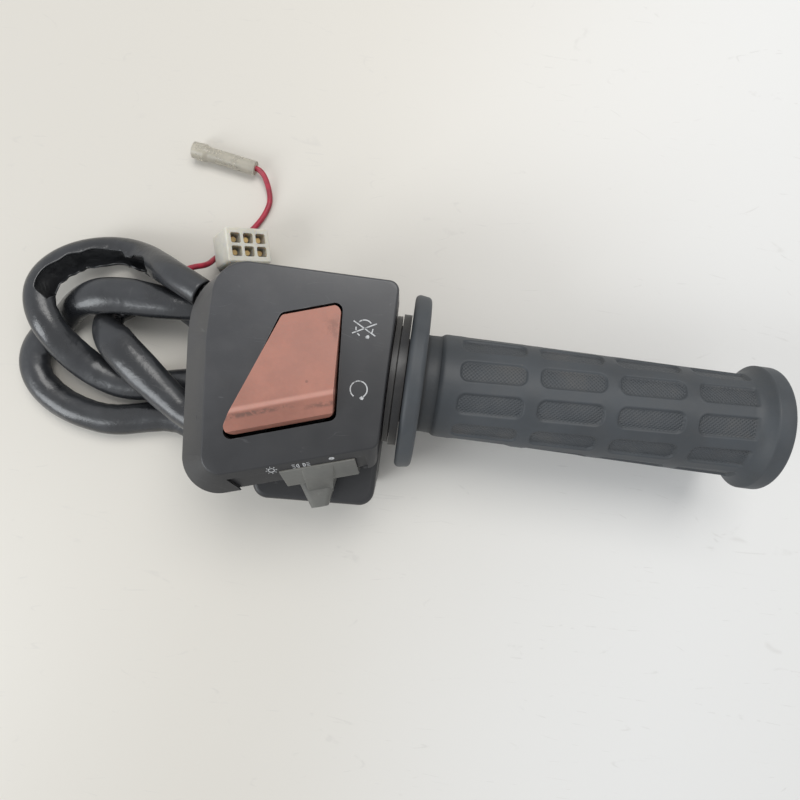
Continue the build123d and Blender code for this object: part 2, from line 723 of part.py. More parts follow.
kill_deck = kill_plan.offset(KILL_PAD_Z - PIVOT_Z)
EAR_T = KILL_BASE_W / 2 - BARREL_L / 2 - SEAT
BASE_HOLE_SPAN = BARREL_L + 2 * SEAT - 2 * BASE_SCREW_HEAD - 2 * BASE_HEAD_GAP
with BuildPart() as kill_contact_base:
    with BuildSketch(kill_deck):
        RectangleRounded(KILL_BASE_W, KILL_BASE_H, BASE_HOLE_R)
        with GridLocations(BASE_HOLE_SPAN, 1, 2, 1):
            Circle(BASE_HOLE_R, mode=Mode.SUBTRACT)
    extrude(amount=BASE_T)
    with BuildSketch(kill_deck):
        with GridLocations(KILL_BASE_W - EAR_T, 1, 2, 1):
            Rectangle(EAR_T, EAR_W)
    extrude(amount=PIVOT_Z - KILL_PAD_Z)
    with BuildSketch(kill_side.offset(-KILL_BASE_W / 2)):
        Circle(EAR_R)
    extrude(amount=EAR_T)
    with BuildSketch(kill_side.offset(KILL_BASE_W / 2)):
        Circle(EAR_R)
    extrude(amount=-EAR_T)
    with BuildSketch(kill_side.offset(-KILL_BASE_W / 2)):
        Circle(PIN_R)
    extrude(amount=KILL_BASE_W, mode=Mode.SUBTRACT)
kill_contact_base.part.label = "kill_contact_base"

with BuildPart() as kill_contacts:
    with BuildSketch(kill_deck.offset(BASE_T)):
        with Locations((-CONTACT_U, CONTACT_V), (CONTACT_U, CONTACT_V)):
            Circle(CONTACT_R)
    extrude(amount=CONTACT_H)
kill_contacts.part.label = "kill_contacts"

with BuildPart() as board_screws:
    with BuildSketch(kill_deck.offset(BASE_T)):
        with GridLocations(BASE_HOLE_SPAN, 1, 2, 1):
            Circle(BASE_SCREW_HEAD)
    extrude(amount=BASE_SCREW_HEAD_T)
    with BuildSketch(kill_deck.offset(BASE_T)):
        with GridLocations(BASE_HOLE_SPAN, 1, 2, 1):
            Circle(BASE_HOLE_R - BASE_SCREW_GAP)
    extrude(amount=-BASE_T)
board_screws.part.label = "board_screws"


# ---- light switch ------------------------------------------------------------------
def slider_plan(z, rear):
    """Plan of the slider: body in the bay and, with the finger, outside it."""
    with BuildSketch(bay_plan.offset(z)) as plan:
        with BuildLine():
            Polyline(
                (SLIDER_LEFT, rear),
                (SLIDER_RIGHT, rear),
                (SLIDER_RIGHT, -SLIDER_PROUD),
                (SLIDER_LEFT + BAY_SLANT, -SLIDER_PROUD),
                close=True,
            )
        make_face()
    return plan.sketch


with BuildPart() as light_slider:
    extrude(slider_plan(SLIDER_Z0, BAY_DEPTH - RUN_GAP), amount=SLIDER_Z1 - SLIDER_Z0)
    chamfer(
        light_slider.faces().filter_by(Axis.Z, reverse=True).sort_by(Axis.Y)[0].edges(),
        length=SLIDER_EDGE,
    )
    # finger, tapering outwards in plan and in height
    with BuildSketch(bay.offset(SLIDER_PROUD / 3)) as root:
        with Locations((SLIDER_MID, (FINGER_Z0 + FINGER_Z1) / 2)):
            RectangleRounded(FINGER_ROOT_L, FINGER_Z1 - FINGER_Z0, FINGER_R)
    with BuildSketch(bay.offset(FINGER_OUT)) as tip:
        with Locations((SLIDER_MID - FINGER_LEAN, (FINGER_Z0 + FINGER_Z1) / 2)):
            RectangleRounded(FINGER_TIP_L, FINGER_TIP_H, FINGER_TIP_R)
    loft([root.sketch.face(), tip.sketch.face()])
    fillet(light_slider.faces().sort_by(Axis.Y)[0].edges(), radius=SLIDER_EDGE)
    # neck through the bay's wall
    with BuildSketch(bay.offset(-BAY_DEPTH + RUN_GAP)):
        with Locations((SLIDER_MID, (NECK_Z0 + NECK_Z1) / 2)):
            RectangleRounded(NECK_W, NECK_Z1 - NECK_Z0, SLIDER_EDGE)
    extrude(amount=-(BAY_WALL + 2 * RUN_GAP))
light_slider.part.label = "light_slider"

CARRIAGE_IN = BAY_DEPTH + BAY_WALL + RUN_GAP
with BuildPart() as slider_carriage:
    with BuildSketch(bay.offset(-CARRIAGE_IN)):
        with Locations((SLIDER_MID, (NECK_Z0 + NECK_Z1) / 2)):
            RectangleRounded(CARRIAGE_L, CARRIAGE_H, RIDGE_H)
    extrude(amount=-CARRIAGE_T)
    with BuildSketch(bay.offset(-CARRIAGE_IN - CARRIAGE_T)):
        with Locations((SLIDER_MID, NECK_Z1 + RIDGE_H)):
            Rectangle(CARRIAGE_L - 2 * RIDGE_H, RIDGE_H)
    extrude(amount=-RIDGE_T)
slider_carriage.part.label = "slider_carriage"

# contact plate behind the carriage, hung from the case's roof on two posts
PLATE_IN = CARRIAGE_IN + CARRIAGE_T + LIGHT_PLATE_GAP
PLATE_LEFT = SLIDER_LEFT - SLIDER_TRAVEL + RIDGE_H
PLATE_RIGHT = SLIDER_RIGHT - BAY_WALL - SLIDER_PROUD
with BuildPart() as light_contact_base:
    with BuildSketch(bay.offset(-PLATE_IN)):
        with Locations(((PLATE_LEFT + PLATE_RIGHT) / 2, LIGHT_PLATE_Z)):
            RectangleRounded(PLATE_RIGHT - PLATE_LEFT, LIGHT_PLATE_H, LIGHT_CONTACT_R)
    extrude(amount=-BASE_T)
light_contact_base.part.label = "light_contact_base"

with BuildPart() as light_contacts:
    step = SLIDER_TRAVEL / 2
    with BuildSketch(bay.offset(-PLATE_IN)):
        with Locations(*[
            (SLIDER_MID - step + (1 - k) * step, NECK_Z1 + RIDGE_H)
            for k in range(3)
        ]):
            Circle(LIGHT_CONTACT_R)
    extrude(amount=LIGHT_CONTACT_T)
light_contacts.part.label = "light_contacts"


# ---- harness -----------------------------------------------------------------------
def corner_radii(route):
    """Largest arc at each corner that keeps 0.45 of the shorter run."""
    radii = []
    for a, b, c in zip(route, route[1:], route[2:]):
        run_in = Vector(*b) - Vector(*a)
        run_out = Vector(*c) - Vector(*b)
        turn = radians(run_in.get_angle(run_out))
        radii.append(0.45 * min(run_in.length, run_out.length) / tan(turn / 2))
    return radii


def tube(route, radius, label):
    """Round tube of straight runs joined by tangent arcs."""
    radii = corner_radii(route)
    start = Vector(*route[0])
    heading = Vector(*route[1]) - start
    with BuildPart() as cord:
        with BuildLine() as path:
            FilletPolyline(*route, radius=radii)
        with BuildSketch(Plane(origin=start, z_dir=heading)):
            Circle(radius)
        sweep(path=path.wires()[0])
    length = path.wires()[0].length
    section = pi * radius * radius
    ratio = round(cord.part.volume / (section * length), 4)
    print(label, "length", round(length, 1), "volume ratio", ratio)
    print("radii", [round(r, 1) for r in radii])
    return cord.part, length


SHEATH_ROUTE = [
    (GLAND_END_X, GLAND_Y, GLAND_Z),
    (-60.5, GLAND_Y, GLAND_Z),
    (-70.5, -21.4, -16.6),
    (-79.8, -15.2, -17.2),
    (-88.2, -9.2, -17.2),
    (-96.8, -2.6, -17.6),
    (-103.4, 3.0, -20.2),
    (-105.0, 8.6, -23.8),
    (-101.8, 13.8, -26.6),
    (-94.6, 17.4, -27.2),
    (-85.0, 18.6, -27.2),
    (-75.4, 15.4, -27.2),
    (-67.2, 7.6, -27.2),
    (-59.0, 1.0, -27.2),
    (-50.0, 2.2, -27.2),
    (-44.9, 10.4, -27.2),
    (-47.0, 19.8, -27.0),
    (-55.2, 24.0, -25.4),
    (-63.2, 20.8, -22.0),
    (-70.4, 17.4, -18.4),
    (-78.4, 16.8, -17.0),
    (-87.6, 17.4, -17.2),
    (-97.2, 18.2, -17.0),
    (-106.8, 17.0, -17.0),
    (-115.0, 13.4, -20.6),
    (-122.0, 7.2, -27.1),
    (-128.4, 0.8, -27.2),
    (-132.0, -6.6, -27.2),
    (-130.4, -15.4, -27.2),
    (-122.6, -22.6, -27.2),
    (-111.8, -26.8, -27.2),
    (-99.5, -28.2, -27.2),
    (-87.4, -25.2, -27.2),
    (-76.2, -23.6, -27.2),
    (-67.0, -27.4, -27.2),
    (-58.0, -32.0, -27.2),
    (-49.0, -29.4, -27.2),
    (-44.6, -21.4, -27.2),
    (-46.8, -12.8, -27.2),
    (-54.8, -8.6, -27.2),
    (-64.2, -9.2, -27.2),
    (-74.4, -10.6, -27.2),
    (-85.4, -13.2, -27.2),
    (-96.5, -14.8, -27.2),
    (-107.5, -11.6, -26.2),
    (-116.2, -5.0, -21.4),
    (-122.4, 2.4, -16.8),
    (-127.0, 10.6, -16.3),
    (-127.2, 19.4, -17.6),
    (-121.8, 27.4, -21.0),
    (-112.2, 32.8, -24.6),
    (-101.2, 34.0, -25.6),
    (-91.4, 31.6, -21.2),
    (-83.0, 27.8, -13.6),
    (-75.0, 24.3, -9.1),
    (-67.2, 20.6, -8.2),
]
sheath_part, sheath_len = tube(SHEATH_ROUTE, SHEATH_D / 2, "harness_sheath")
harness_sheath = sheath_part
harness_sheath.label = "harness_sheath"

with BuildPart() as harness_grommet:
    with BuildSketch(Plane.XY.offset(GLAND_Z)):
        with BuildLine():
            Polyline(
                (-FRONT_L + WALL + GLAND_IN_T, GLAND_Y + GLAND_BORE_R),
                (-FRONT_L + WALL + GLAND_IN_T, GLAND_Y + GLAND_FLANGE_R),
                (-FRONT_L + WALL + GLAND_GAP, GLAND_Y + GLAND_FLANGE_R),
                (-FRONT_L + WALL + GLAND_GAP, GLAND_Y + GLAND_HOLE_R - GLAND_GAP / 2),
                (-FRONT_L - GLAND_GAP, GLAND_Y + GLAND_HOLE_R - GLAND_GAP / 2),
                (-FRONT_L - GLAND_GAP, GLAND_Y + GLAND_FLANGE_R),
                (-FRONT_L - GLAND_OUT_T, GLAND_Y + GLAND_FLANGE_R),
                (-FRONT_L - GLAND_OUT_T, GLAND_Y + GLAND_TAPER_R),
                (GLAND_END_X, GLAND_Y + GLAND_TIP_R),
                (GLAND_END_X, GLAND_Y + GLAND_BORE_R),
                close=True,
            )
        make_face()
    revolve(axis=Axis((0, GLAND_Y, GLAND_Z), (1, 0, 0)))
harness_grommet.part.label = "harness_grommet"

# connector: mating face looks up, its body leans away from the case
CONN_FACE = (-54.9, 40.0, -13.2)
CONN_AXIS = Vector(0.58, 0.16, 0.80).normalized()
conn_x = Vector(0.774, 0.201, -0.601)
conn_x = (conn_x - CONN_AXIS * conn_x.dot(CONN_AXIS)).normalized()
conn = Plane(origin=CONN_FACE, x_dir=conn_x, z_dir=CONN_AXIS)
CELLS = [(i * CONN_PITCH, j * CONN_PITCH) for j in (-0.5, 0.5) for i in (-1, 0, 1)]

with BuildPart() as connector_housing:
    with BuildSketch(conn):
        RectangleRounded(CONN_W, CONN_H, CONN_CORNER)
    extrude(amount=-CONN_L)
    chamfer(connector_housing.faces().sort_by(Axis.Z)[-1].edges(), length=CONN_EDGE)
    with BuildSketch(conn):
        with Locations(*CELLS):
            RectangleRounded(CONN_PITCH - CONN_WALL, CONN_PITCH - CONN_WALL, CELL_R)
    extrude(amount=-CONN_CELL_DEPTH, mode=Mode.SUBTRACT)
    with BuildSketch(conn.offset(-CONN_L)):
        with Locations(*CELLS):
            Circle(TERMINAL_R)
    extrude(amount=CONN_L - CONN_CELL_DEPTH, mode=Mode.SUBTRACT)
    # latch ramp on the upper side
    with BuildSketch(conn.offset(-CONN_L + LATCH_Z)):
        with Locations((0, CONN_H / 2)):
            Rectangle(LATCH_W, 2 * LATCH_H)
    extrude(amount=LATCH_L)
connector_housing.part.label = "connector_housing"

with BuildPart() as connector_terminals:
    with BuildSketch(conn.offset(-CONN_L)):
        with Locations(*CELLS):
            Circle(TERMINAL_R)
    extrude(amount=CONN_L - TERMINAL_TOP)
    with BuildSketch(conn.offset(-CONN_CELL_DEPTH)):
        with Locations(*CELLS):
            Circle(TERMINAL_CUP_R)
            Circle(TERMINAL_R, mode=Mode.SUBTRACT)
    extrude(amount=TERMINAL_CUP_L)
connector_terminals.part.label = "connector_terminals"

MOUTH = Vector(*SHEATH_ROUTE[-1])
MOUTH_DIR = (MOUTH - Vector(*SHEATH_ROUTE[-2])).normalized()
mouth_plane = Plane(origin=MOUTH, x_dir=(0, 0, 1), z_dir=MOUTH_DIR)
# wires stand in the mouth in two rows, spread into lanes behind the connector, and turn up
# into four of its six cells
BUNDLE = [(1.2, -2.2), (1.2, 0.0), (1.2, 2.2), (-1.2, 0.0)]
LANES = [-4.9, 0.0, 4.9, 2.45]
WIRE_CELLS = [(-1, -0.5), (0, -0.5), (1, -0.5), (0, 0.5)]
WIRE_OUT = 4.4              # straight run out of the mouth
WIRE_IN = 5.0               # straight run into the connector
WIRE_BEND = Vector(-58.4, 21.8, -11.4)
wires = []
for spot, lane, place in zip(BUNDLE, LANES, WIRE_CELLS):
    cell_x = place[0] * CONN_PITCH
    cell_y = place[1] * CONN_PITCH
    route = [
        mouth_plane.from_local_coords(Vector(spot[0], spot[1], 0)),
        mouth_plane.from_local_coords(Vector(spot[0], spot[1], WIRE_OUT + 0.62 * spot[1])),
        WIRE_BEND + Vector(0.62 * lane, 0.5 * spot[0], 0.9 * spot[0]),
    ]
    turns = [(lane - 0.4, -8.1, -8.6), (0.55 * lane + 0.45 * cell_x, -7.4, -14.6)]
    if cell_y > 0:
        turns = [(lane - 0.4, -9.2, -8.6), (lane, -8.4, -15.4), (lane, -0.4, -16.8)]
    turns.append((cell_x, cell_y, -CONN_L - WIRE_IN))
    turns.append((cell_x, cell_y, -CONN_L))
    for turn in turns:
        route.append(conn.from_local_coords(Vector(*turn)))
    route = [tuple(point) for point in route]
    wire, wire_len = tube(route, WIRE_R, "wire")
    wires.append(wire)
connector_wires = Compound(label="connector_wires", children=wires)

SLEEVE_START = Vector(-60.4, 71.8, -28.7)
SLEEVE_DIR = Vector(-0.987, 0.160, 0).normalized()
red_turn = SLEEVE_START - SLEEVE_DIR * 3.0
RED_ROUTE = [
    (-75.89, 28.63, -14.22),
    (-74.47, 30.08, -15.85),
    (-70.6, 32.3, -20.4),
    (-70.2, 36.0, -26.2),
    (-67.4, 40.8, -30.5),
    (-62.2, 46.0, -30.9),
    (-57.6, 51.4, -30.9),
    (-54.6, 57.2, -30.9),
    (-53.8, 62.6, -30.9),
    tuple(red_turn),
    tuple(SLEEVE_START),
]
red_lead, red_len = tube(RED_ROUTE, RED_R, "red_lead")
red_lead.label = "red_lead"

sleeve = Plane(origin=SLEEVE_START, x_dir=(0, 0, 1), z_dir=SLEEVE_DIR)
with BuildPart() as bullet_sleeve:
    with BuildSketch(Plane.XZ) as half:
        with BuildLine():
            Polyline(
                (RED_R, 0),
                (SLEEVE_R, 0),
                (SLEEVE_R, SLEEVE_L - SLEEVE_STEP),
                (SLEEVE_R + SLEEVE_FLARE, SLEEVE_L - SLEEVE_STEP + SLEEVE_TAPER),
                (SLEEVE_R + SLEEVE_FLARE * 0.7, SLEEVE_L),
                (SLEEVE_BORE, SLEEVE_L),
                (SLEEVE_BORE, SLEEVE_END),
                (RED_R, SLEEVE_END),
                close=True,
            )
        make_face()
    revolve(axis=Axis.Z)
bullet_sleeve_part = bullet_sleeve.part.moved(sleeve.location)
bullet_sleeve_part.label = "bullet_sleeve"

with BuildPart() as bullet_terminal:
    with BuildSketch(sleeve):
        Circle(RED_R)
    extrude(amount=CRIMP_L)
    with BuildSketch(sleeve.offset(SLEEVE_END)):
        Circle(SLEEVE_BORE - PIN_GAP)
        Circle(RED_R, mode=Mode.SUBTRACT)
    extrude(amount=SLEEVE_L - CRIMP_L - 2 * SLEEVE_END)
bullet_terminal.part.label = "bullet_terminal"


# ---- files ---------------------------------------------------------------------------
os.makedirs("parts", exist_ok=True)
PARTS = [
    rear_housing.part,
    front_housing.part,
    case_screws,
    throttle_tube.part,
    grip_flange.part,
    grip_rubber.part,
    kill_rocker.part,
    kill_moving_contact.part,
    kill_pivot_pin.part,
    kill_contact_base.part,
    kill_contacts.part,
    board_screws.part,
    light_slider.part,
    slider_carriage.part,
    light_contact_base.part,
    light_contacts.part,
    harness_sheath,
    harness_grommet.part,
    connector_housing.part,
    connector_terminals.part,
    connector_wires,
    red_lead,
    bullet_sleeve_part,
    bullet_terminal.part,
]
for piece in PARTS:
    export_step(piece, "parts/" + piece.label + ".step")
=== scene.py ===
"""Motorcycle throttle grip: finishes, symbols, rubber grip, harness and stage.

Laid out as an add-on and run as a script. Metres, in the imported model's frame:
X outboard along the handlebar, Y up as worn, Z towards the rider.
"""

import json
import math

import bmesh
import bpy
import numpy as np
from bpy.props import FloatProperty, FloatVectorProperty, IntProperty, PointerProperty
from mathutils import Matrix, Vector
from mathutils.bvhtree import BVHTree

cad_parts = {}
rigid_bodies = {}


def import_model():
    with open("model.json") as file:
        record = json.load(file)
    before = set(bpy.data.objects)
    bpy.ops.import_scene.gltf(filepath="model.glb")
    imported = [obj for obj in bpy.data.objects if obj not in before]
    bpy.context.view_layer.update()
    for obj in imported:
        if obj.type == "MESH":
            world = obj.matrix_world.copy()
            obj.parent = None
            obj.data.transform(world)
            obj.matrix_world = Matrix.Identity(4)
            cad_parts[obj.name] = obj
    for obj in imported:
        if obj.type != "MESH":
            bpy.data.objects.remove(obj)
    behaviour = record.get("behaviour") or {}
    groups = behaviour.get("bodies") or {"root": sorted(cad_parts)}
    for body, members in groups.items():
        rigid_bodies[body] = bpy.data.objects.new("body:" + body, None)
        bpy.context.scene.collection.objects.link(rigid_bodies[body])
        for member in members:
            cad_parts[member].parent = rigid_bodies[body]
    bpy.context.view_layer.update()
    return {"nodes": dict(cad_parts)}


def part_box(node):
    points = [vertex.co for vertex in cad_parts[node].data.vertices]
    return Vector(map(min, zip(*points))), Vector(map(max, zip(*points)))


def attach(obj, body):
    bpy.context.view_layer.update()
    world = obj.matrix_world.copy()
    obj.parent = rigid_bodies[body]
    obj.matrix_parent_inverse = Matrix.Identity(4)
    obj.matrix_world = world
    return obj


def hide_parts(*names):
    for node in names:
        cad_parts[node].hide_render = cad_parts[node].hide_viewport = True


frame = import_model()
NODES = frame["nodes"]
MM = 0.001

bl_info = {
    "name": "Throttle Grip",
    "version": (1, 0, 0),
    "blender": (4, 5, 0),
    "location": "3D View > Sidebar > Throttle Grip",
    "description": "Finishes and soft pieces of a motorcycle throttle grip",
    "category": "Object",
}


# ---- settings ----
def kind_of(make, scale=1.0, **fixed):
    """A short way to write properties of one kind, their defaults in a unit of their own."""
    def prop(title, about, default, **more):
        plain = default if scale == 1 else default * scale
        return make(name=title, description=about, default=plain, **fixed, **more)
    return prop


length = kind_of(FloatProperty, MM, precision=5, subtype="DISTANCE", unit="LENGTH")
turn_of = kind_of(FloatProperty, math.radians(1), subtype="ANGLE", unit="ROTATION")
colour = kind_of(FloatVectorProperty, size=3, min=0, max=1, subtype="COLOR")
count_of = kind_of(IntProperty, min=1)


class GripSettings(bpy.types.PropertyGroup):
    """Sizes of the rubber grip."""
    radius: length("Radius", "Outer radius of the grip's body", 16.7)
    pad_depth: length("Pad depth", "How far the knurled pads are sunk", 0.8)
    pad_length: length("Pad length", "Length of a pad along the bar", 20.4)
    pad_width: length("Pad width", "Width of a pad round the grip", 6.8)
    pad_corner: length("Pad corner", "Corner radius of a pad", 2.6)
    pad_start: length("First pad", "Where the first column of pads starts", 21.4)
    pad_pitch: length("Pad pitch", "Distance from one column of pads to the next", 24.4)
    pad_turn: turn_of("Pad turn", "Turn of the first row of pads", 10.6)
    twist: turn_of("Twist", "Turn of the rubber from the first column of pads to the last", 12.7)
    rows: count_of("Rows", "Rows of pads round the grip", 10)
    columns: count_of("Columns", "Columns of pads along the grip", 4)
    rubber: colour("Rubber", "Colour of the rubber", (0.040, 0.046, 0.052))
    dirt: colour("Grip dust", "Dust in the pads", (0.16, 0.135, 0.105))


class CaseSettings(bpy.types.PropertyGroup):
    """Finishes of the housing, its switches and inner pieces."""
    paint: colour("Paint", "Satin paint of the case", (0.021, 0.0215, 0.0245))
    worn: colour("Worn edge", "Case where its paint is rubbed", (0.23, 0.23, 0.24))
    ink: colour("Ink", "Printed symbols", (0.72, 0.73, 0.74))
    rocker: colour("Rocker", "Faded plastic of the kill switch", (0.365, 0.157, 0.114))
    # kill switch grime, and also the colour of the painted shade below its crest
    rocker_dirt: colour("Rocker dirt", "Grime on the kill switch", (0.17, 0.085, 0.065))
    slider: colour("Slider", "Plastic of the light switch", (0.118, 0.118, 0.108))
    nylon: colour("Drum nylon", "Plastic of the throttle drum", (0.010, 0.0105, 0.012))
    dust: colour("Dust", "Dust that lies on the case", (0.22, 0.2, 0.18))
    brass: colour("Brass", "Contacts and terminals", (0.60, 0.44, 0.20))
    steel: colour("Steel", "Screws and pins", (0.50, 0.50, 0.51))
    phenolic: colour("Contact plates", "Moulded contact plates", (0.16, 0.085, 0.045))


class HarnessSettings(bpy.types.PropertyGroup):
    """Sizes and finishes of the harness."""
    diameter: length("Sheath", "Outer diameter of the sheath", 9.6)
    skin: length("Skin", "Thickness of the sheath's wall", 0.7)
    wire: length("Wire", "Diameter of a connector wire", 1.6)
    lead: length("Red lead", "Diameter of the red lead", 2.0)
    vinyl: colour("Vinyl", "Sheath", (0.011, 0.012, 0.014))
    rubber: colour("Grommet", "Grommet where the sheath leaves the case", (0.02, 0.02, 0.021))
    black: colour("Black wire", "Connector wires", (0.016, 0.016, 0.017))
    red: colour("Red wire", "The single lead", (0.42, 0.022, 0.05))
    housing: colour("Connector", "Milky connector housing", (0.70, 0.68, 0.60))
    sleeve: colour("Sleeve", "Yellowed clear sleeve of the bullet terminal", (0.70, 0.66, 0.56))


class StageSettings(bpy.types.PropertyGroup):
    """Floor, lights and camera."""
    # the board grades from this colour inboard to the next outboard, as painted light: darker and warmer
    # inboard, paler outboard
    floor: colour("Floor", "Painted board, towards the inboard side", (0.70, 0.67, 0.61))
    floor_far: colour("Far floor", "The same board, towards the outboard side", (0.835, 0.83, 0.81))
    floor_z: length("Floor height", "Where the object rests", -32.0)
    lens: kind_of(FloatProperty, unit="CAMERA")("Lens", "Focal length on a 36 mm sensor", 28.35, min=10)
    height: length("Camera height", "Camera above the bar's axis", 206.0)
    roll: turn_of("Roll", "Roll of the camera", 7.7)
    key: kind_of(FloatProperty, unit="POWER")("Key light", "Power of the window light", 4.2, min=0)
    fill: kind_of(FloatProperty, subtype="FACTOR")("Fill light", "Strength of the room's light", 0.5, min=0)


def settings(group):
    return getattr(bpy.context.scene, group)


# ---- shader values ----
def feed(value, target):
    """Links a shader value to an input, or sets the input to a plain value."""
    if isinstance(value, Value):
        target.id_data.links.new(value.socket, target)
    elif target.type == "RGBA":
        target.default_value = (*value[:3], 1)
    else:
        target.default_value = value


class Node:
    """A shader node whose outputs are read by name or number as values."""
    def __init__(self, node):
        self.node = node

    def __getitem__(self, key):
        return Value(self.node.outputs[key])


def put(tree, kind, setup=None, **inputs):
    """Adds a node, sets its fields and feeds its inputs, by name or as in0, in1 and so on."""
    node = tree.nodes.new(kind)
    for field, value in (setup or {}).items():
        setattr(node, field, value)
    for label, value in inputs.items():
        numbered = label.startswith("in") and label[2:].isdigit()
        feed(value, node.inputs[int(label[2:]) if numbered else label.replace("_", " ")])
    return Node(node)


def maths(operation, *values):
    """One Math node's value, in the tree of the first shader value."""
    tree = next(value.socket.id_data for value in values if isinstance(value, Value))
    sockets = {f"in{i}": value for i, value in enumerate(values)}
    return put(tree, "ShaderNodeMath", {"operation": operation}, **sockets)[0]


class Value:
    """A shader value. Arithmetic on it adds Math nodes to its tree."""
    def __init__(self, socket):
        self.socket = socket

    def __rsub__(self, other):
        return maths("SUBTRACT", other, self)


def add_operator(symbol, operation):
    setattr(Value, f"__{symbol}__", lambda self, *other: maths(operation, self, *other))


for symbol, operation in (("add", "ADD"), ("sub", "SUBTRACT"), ("mul", "MULTIPLY"), ("pow", "POWER"),
                          ("abs", "ABSOLUTE"), ("gt", "GREATER_THAN"), ("lt", "LESS_THAN")):
    add_operator(symbol, operation)


def clamped(value):
    """The value of a Math node, kept between 0 and 1."""
    value.socket.node.use_clamp = True
    return value


def highest(first, *others):
    """The highest of some shader values."""
    for other in others:
        first = maths("MAXIMUM", first, other)
    return first


def mix(part, first, second):
    """The first colour with a part of the second."""
    tree = part.socket.id_data
    return put(tree, "ShaderNodeMix", {"data_type": "RGBA"}, in0=part, in6=first, in7=second)[2]


def steps(value, low, high):
    """0 at low and 1 at high, smoothly between them."""
    tree, setup = value.socket.id_data, {"interpolation_type": "SMOOTHSTEP"}
    return put(tree, "ShaderNodeMapRange", setup, Value=value, From_Min=low, From_Max=high)[0]


def mottled(cloud, dark, light, low=0.35, high=0.7):
    """A colour that shifts with a cloud of noise, and the mask of the shift."""
    mask = steps(cloud, low, high)
    return mix(mask, dark, light), mask


def toned(base, factor, lift=0.0):
    """A plain colour made lighter or darker."""
    return tuple(min(1, factor * c + lift) for c in base)


def place_of(tree):
    return put(tree, "ShaderNodeTexCoord")["Object"]


def axes_of(vector):
    """A vector's parts, read as X, Y and Z."""
    return put(vector.socket.id_data, "ShaderNodeSeparateXYZ", Vector=vector)


def noise(tree, scale, detail=3.0, rough=0.55, vector=None, warp=0.0):
    return put(tree, "ShaderNodeTexNoise", Vector=vector or place_of(tree), Scale=scale, Detail=detail,
               Roughness=rough, Distortion=warp)[0]


def cells(tree, scale):
    """Distance to the nearest of many scattered points."""
    return put(tree, "ShaderNodeTexVoronoi", Vector=place_of(tree), Scale=scale)["Distance"]


# ---- shared effects ----
def group(name, inputs, outputs):
    """A new node group with float sockets, its input node and the sockets of its output node."""
    tree = bpy.data.node_groups.new(name, "ShaderNodeTree")
    for label, default in inputs.items():
        socket = tree.interface.new_socket(label, in_out="INPUT", socket_type="NodeSocketFloat")
        socket.default_value = default
    for label in outputs:
        tree.interface.new_socket(label, in_out="OUTPUT", socket_type="NodeSocketFloat")
    return tree, Node(tree.nodes.new("NodeGroupInput")), tree.nodes.new("NodeGroupOutput").inputs


def edge_wear_group(name):
    """Rubbed edges: a mask where the surface turns sharply, broken up by noise."""
    tree, into, out = group(name, {"Width": 0.0006, "Amount": 0.6, "Patch Size": 260.0}, ["Mask"])
    soft = put(tree, "ShaderNodeBevel", {"samples": 6}, Radius=into["Width"])[0]
    sharp = put(tree, "ShaderNodeNewGeometry")["Normal"]
    turned = put(tree, "ShaderNodeVectorMath", {"operation": "DOT_PRODUCT"}, in0=soft, in1=sharp)["Value"]
    edge = steps(1.0 - turned, 0.01, 0.16)
    patches = steps(noise(tree, into["Patch Size"], 5.0, 0.65), 0.42, 0.66)
    feed(clamped(edge * patches * into["Amount"]), out["Mask"])
    return tree


def grain_group(name):
    """Fine moulded or cast grain: a height and a slow mottle."""
    tree, into, out = group(name, {"Size": 2600.0, "Mottle Size": 60.0}, ["Height", "Mottle"])
    feed(noise(tree, into["Size"], 2.0, 0.5), out["Height"])
    feed(noise(tree, into["Mottle Size"], 4.0, 0.6), out["Mottle"])
    return tree


def hairline_group(name):
    """Hairline scratches in three directions, broken along their length."""
    tree, into, out = group(name, {"Amount": 0.5, "Scale": 30.0}, ["Mask"])
    masks = []
    for turn, stretch in ((0.35, 7.0), (1.9, 5.0), (2.7, 9.0)):
        lay = put(tree, "ShaderNodeMapping", Vector=place_of(tree), Rotation=(0.2 * turn, 0.1, turn),
                  Scale=(1.0, stretch, 1.0))[0]
        thin = steps(abs(noise(tree, into["Scale"], 1.0, 0.4, lay, 0.6) - 0.5), 0.006, 0.0)
        masks.append(thin * steps(noise(tree, 90.0 + 40 * turn, 2.0), 0.55, 0.7))
    feed(clamped(highest(*masks) * into["Amount"]), out["Mask"])
    return tree


def dust_group(name):
    """Dust in corners and in clouds, with a few specks."""
    tree, into, out = group(name, {"Amount": 0.3, "Specks": 0.5, "Reach": 0.004}, ["Mask"])
    shade = put(tree, "ShaderNodeAmbientOcclusion", {"samples": 6}, Distance=into["Reach"])["AO"]
    film = steps(shade, 0.75, 0.35) * 0.9 + steps(noise(tree, 130.0, 5.0, 0.7), 0.4, 0.75) * 0.35
    specks = steps(cells(tree, 230.0), 0.07, 0.03) * steps(noise(tree, 120.0, 1.0), 0.6, 0.68)
    feed(clamped(film * into["Amount"] + specks * into["Specks"]), out["Mask"])
    return tree


EFFECTS = {"edge_wear": edge_wear_group, "grain": grain_group, "hairlines": hairline_group,
           "dust": dust_group}


def use(tree, name, **inputs):
    """Places a node group by name, made at its first use."""
    effect = bpy.data.node_groups.get(name) or EFFECTS[name](name)
    return put(tree, "ShaderNodeGroup", {"node_tree": effect}, **inputs)


# ---- materials ----
def blank_material(name):
    """A material with only its Principled shader and output, and its tree."""
    made = bpy.data.materials.new(name)
    made.use_nodes = True
    return made, made.node_tree


def finish_with(made, tint, rough, height, depth, strength, **plain):
    """Joins colour, roughness and bump to the shader and sets its other inputs."""
    inputs = made.node_tree.nodes["Principled BSDF"].inputs
    bump = put(made.node_tree, "ShaderNodeBump", Strength=strength, Distance=depth, Height=height)[0]
    joined = {"Base_Color": tint, "Roughness": rough, "Normal": bump, **plain}
    for label, value in joined.items():
        feed(value, inputs[label.replace("_", " ")])
    return made


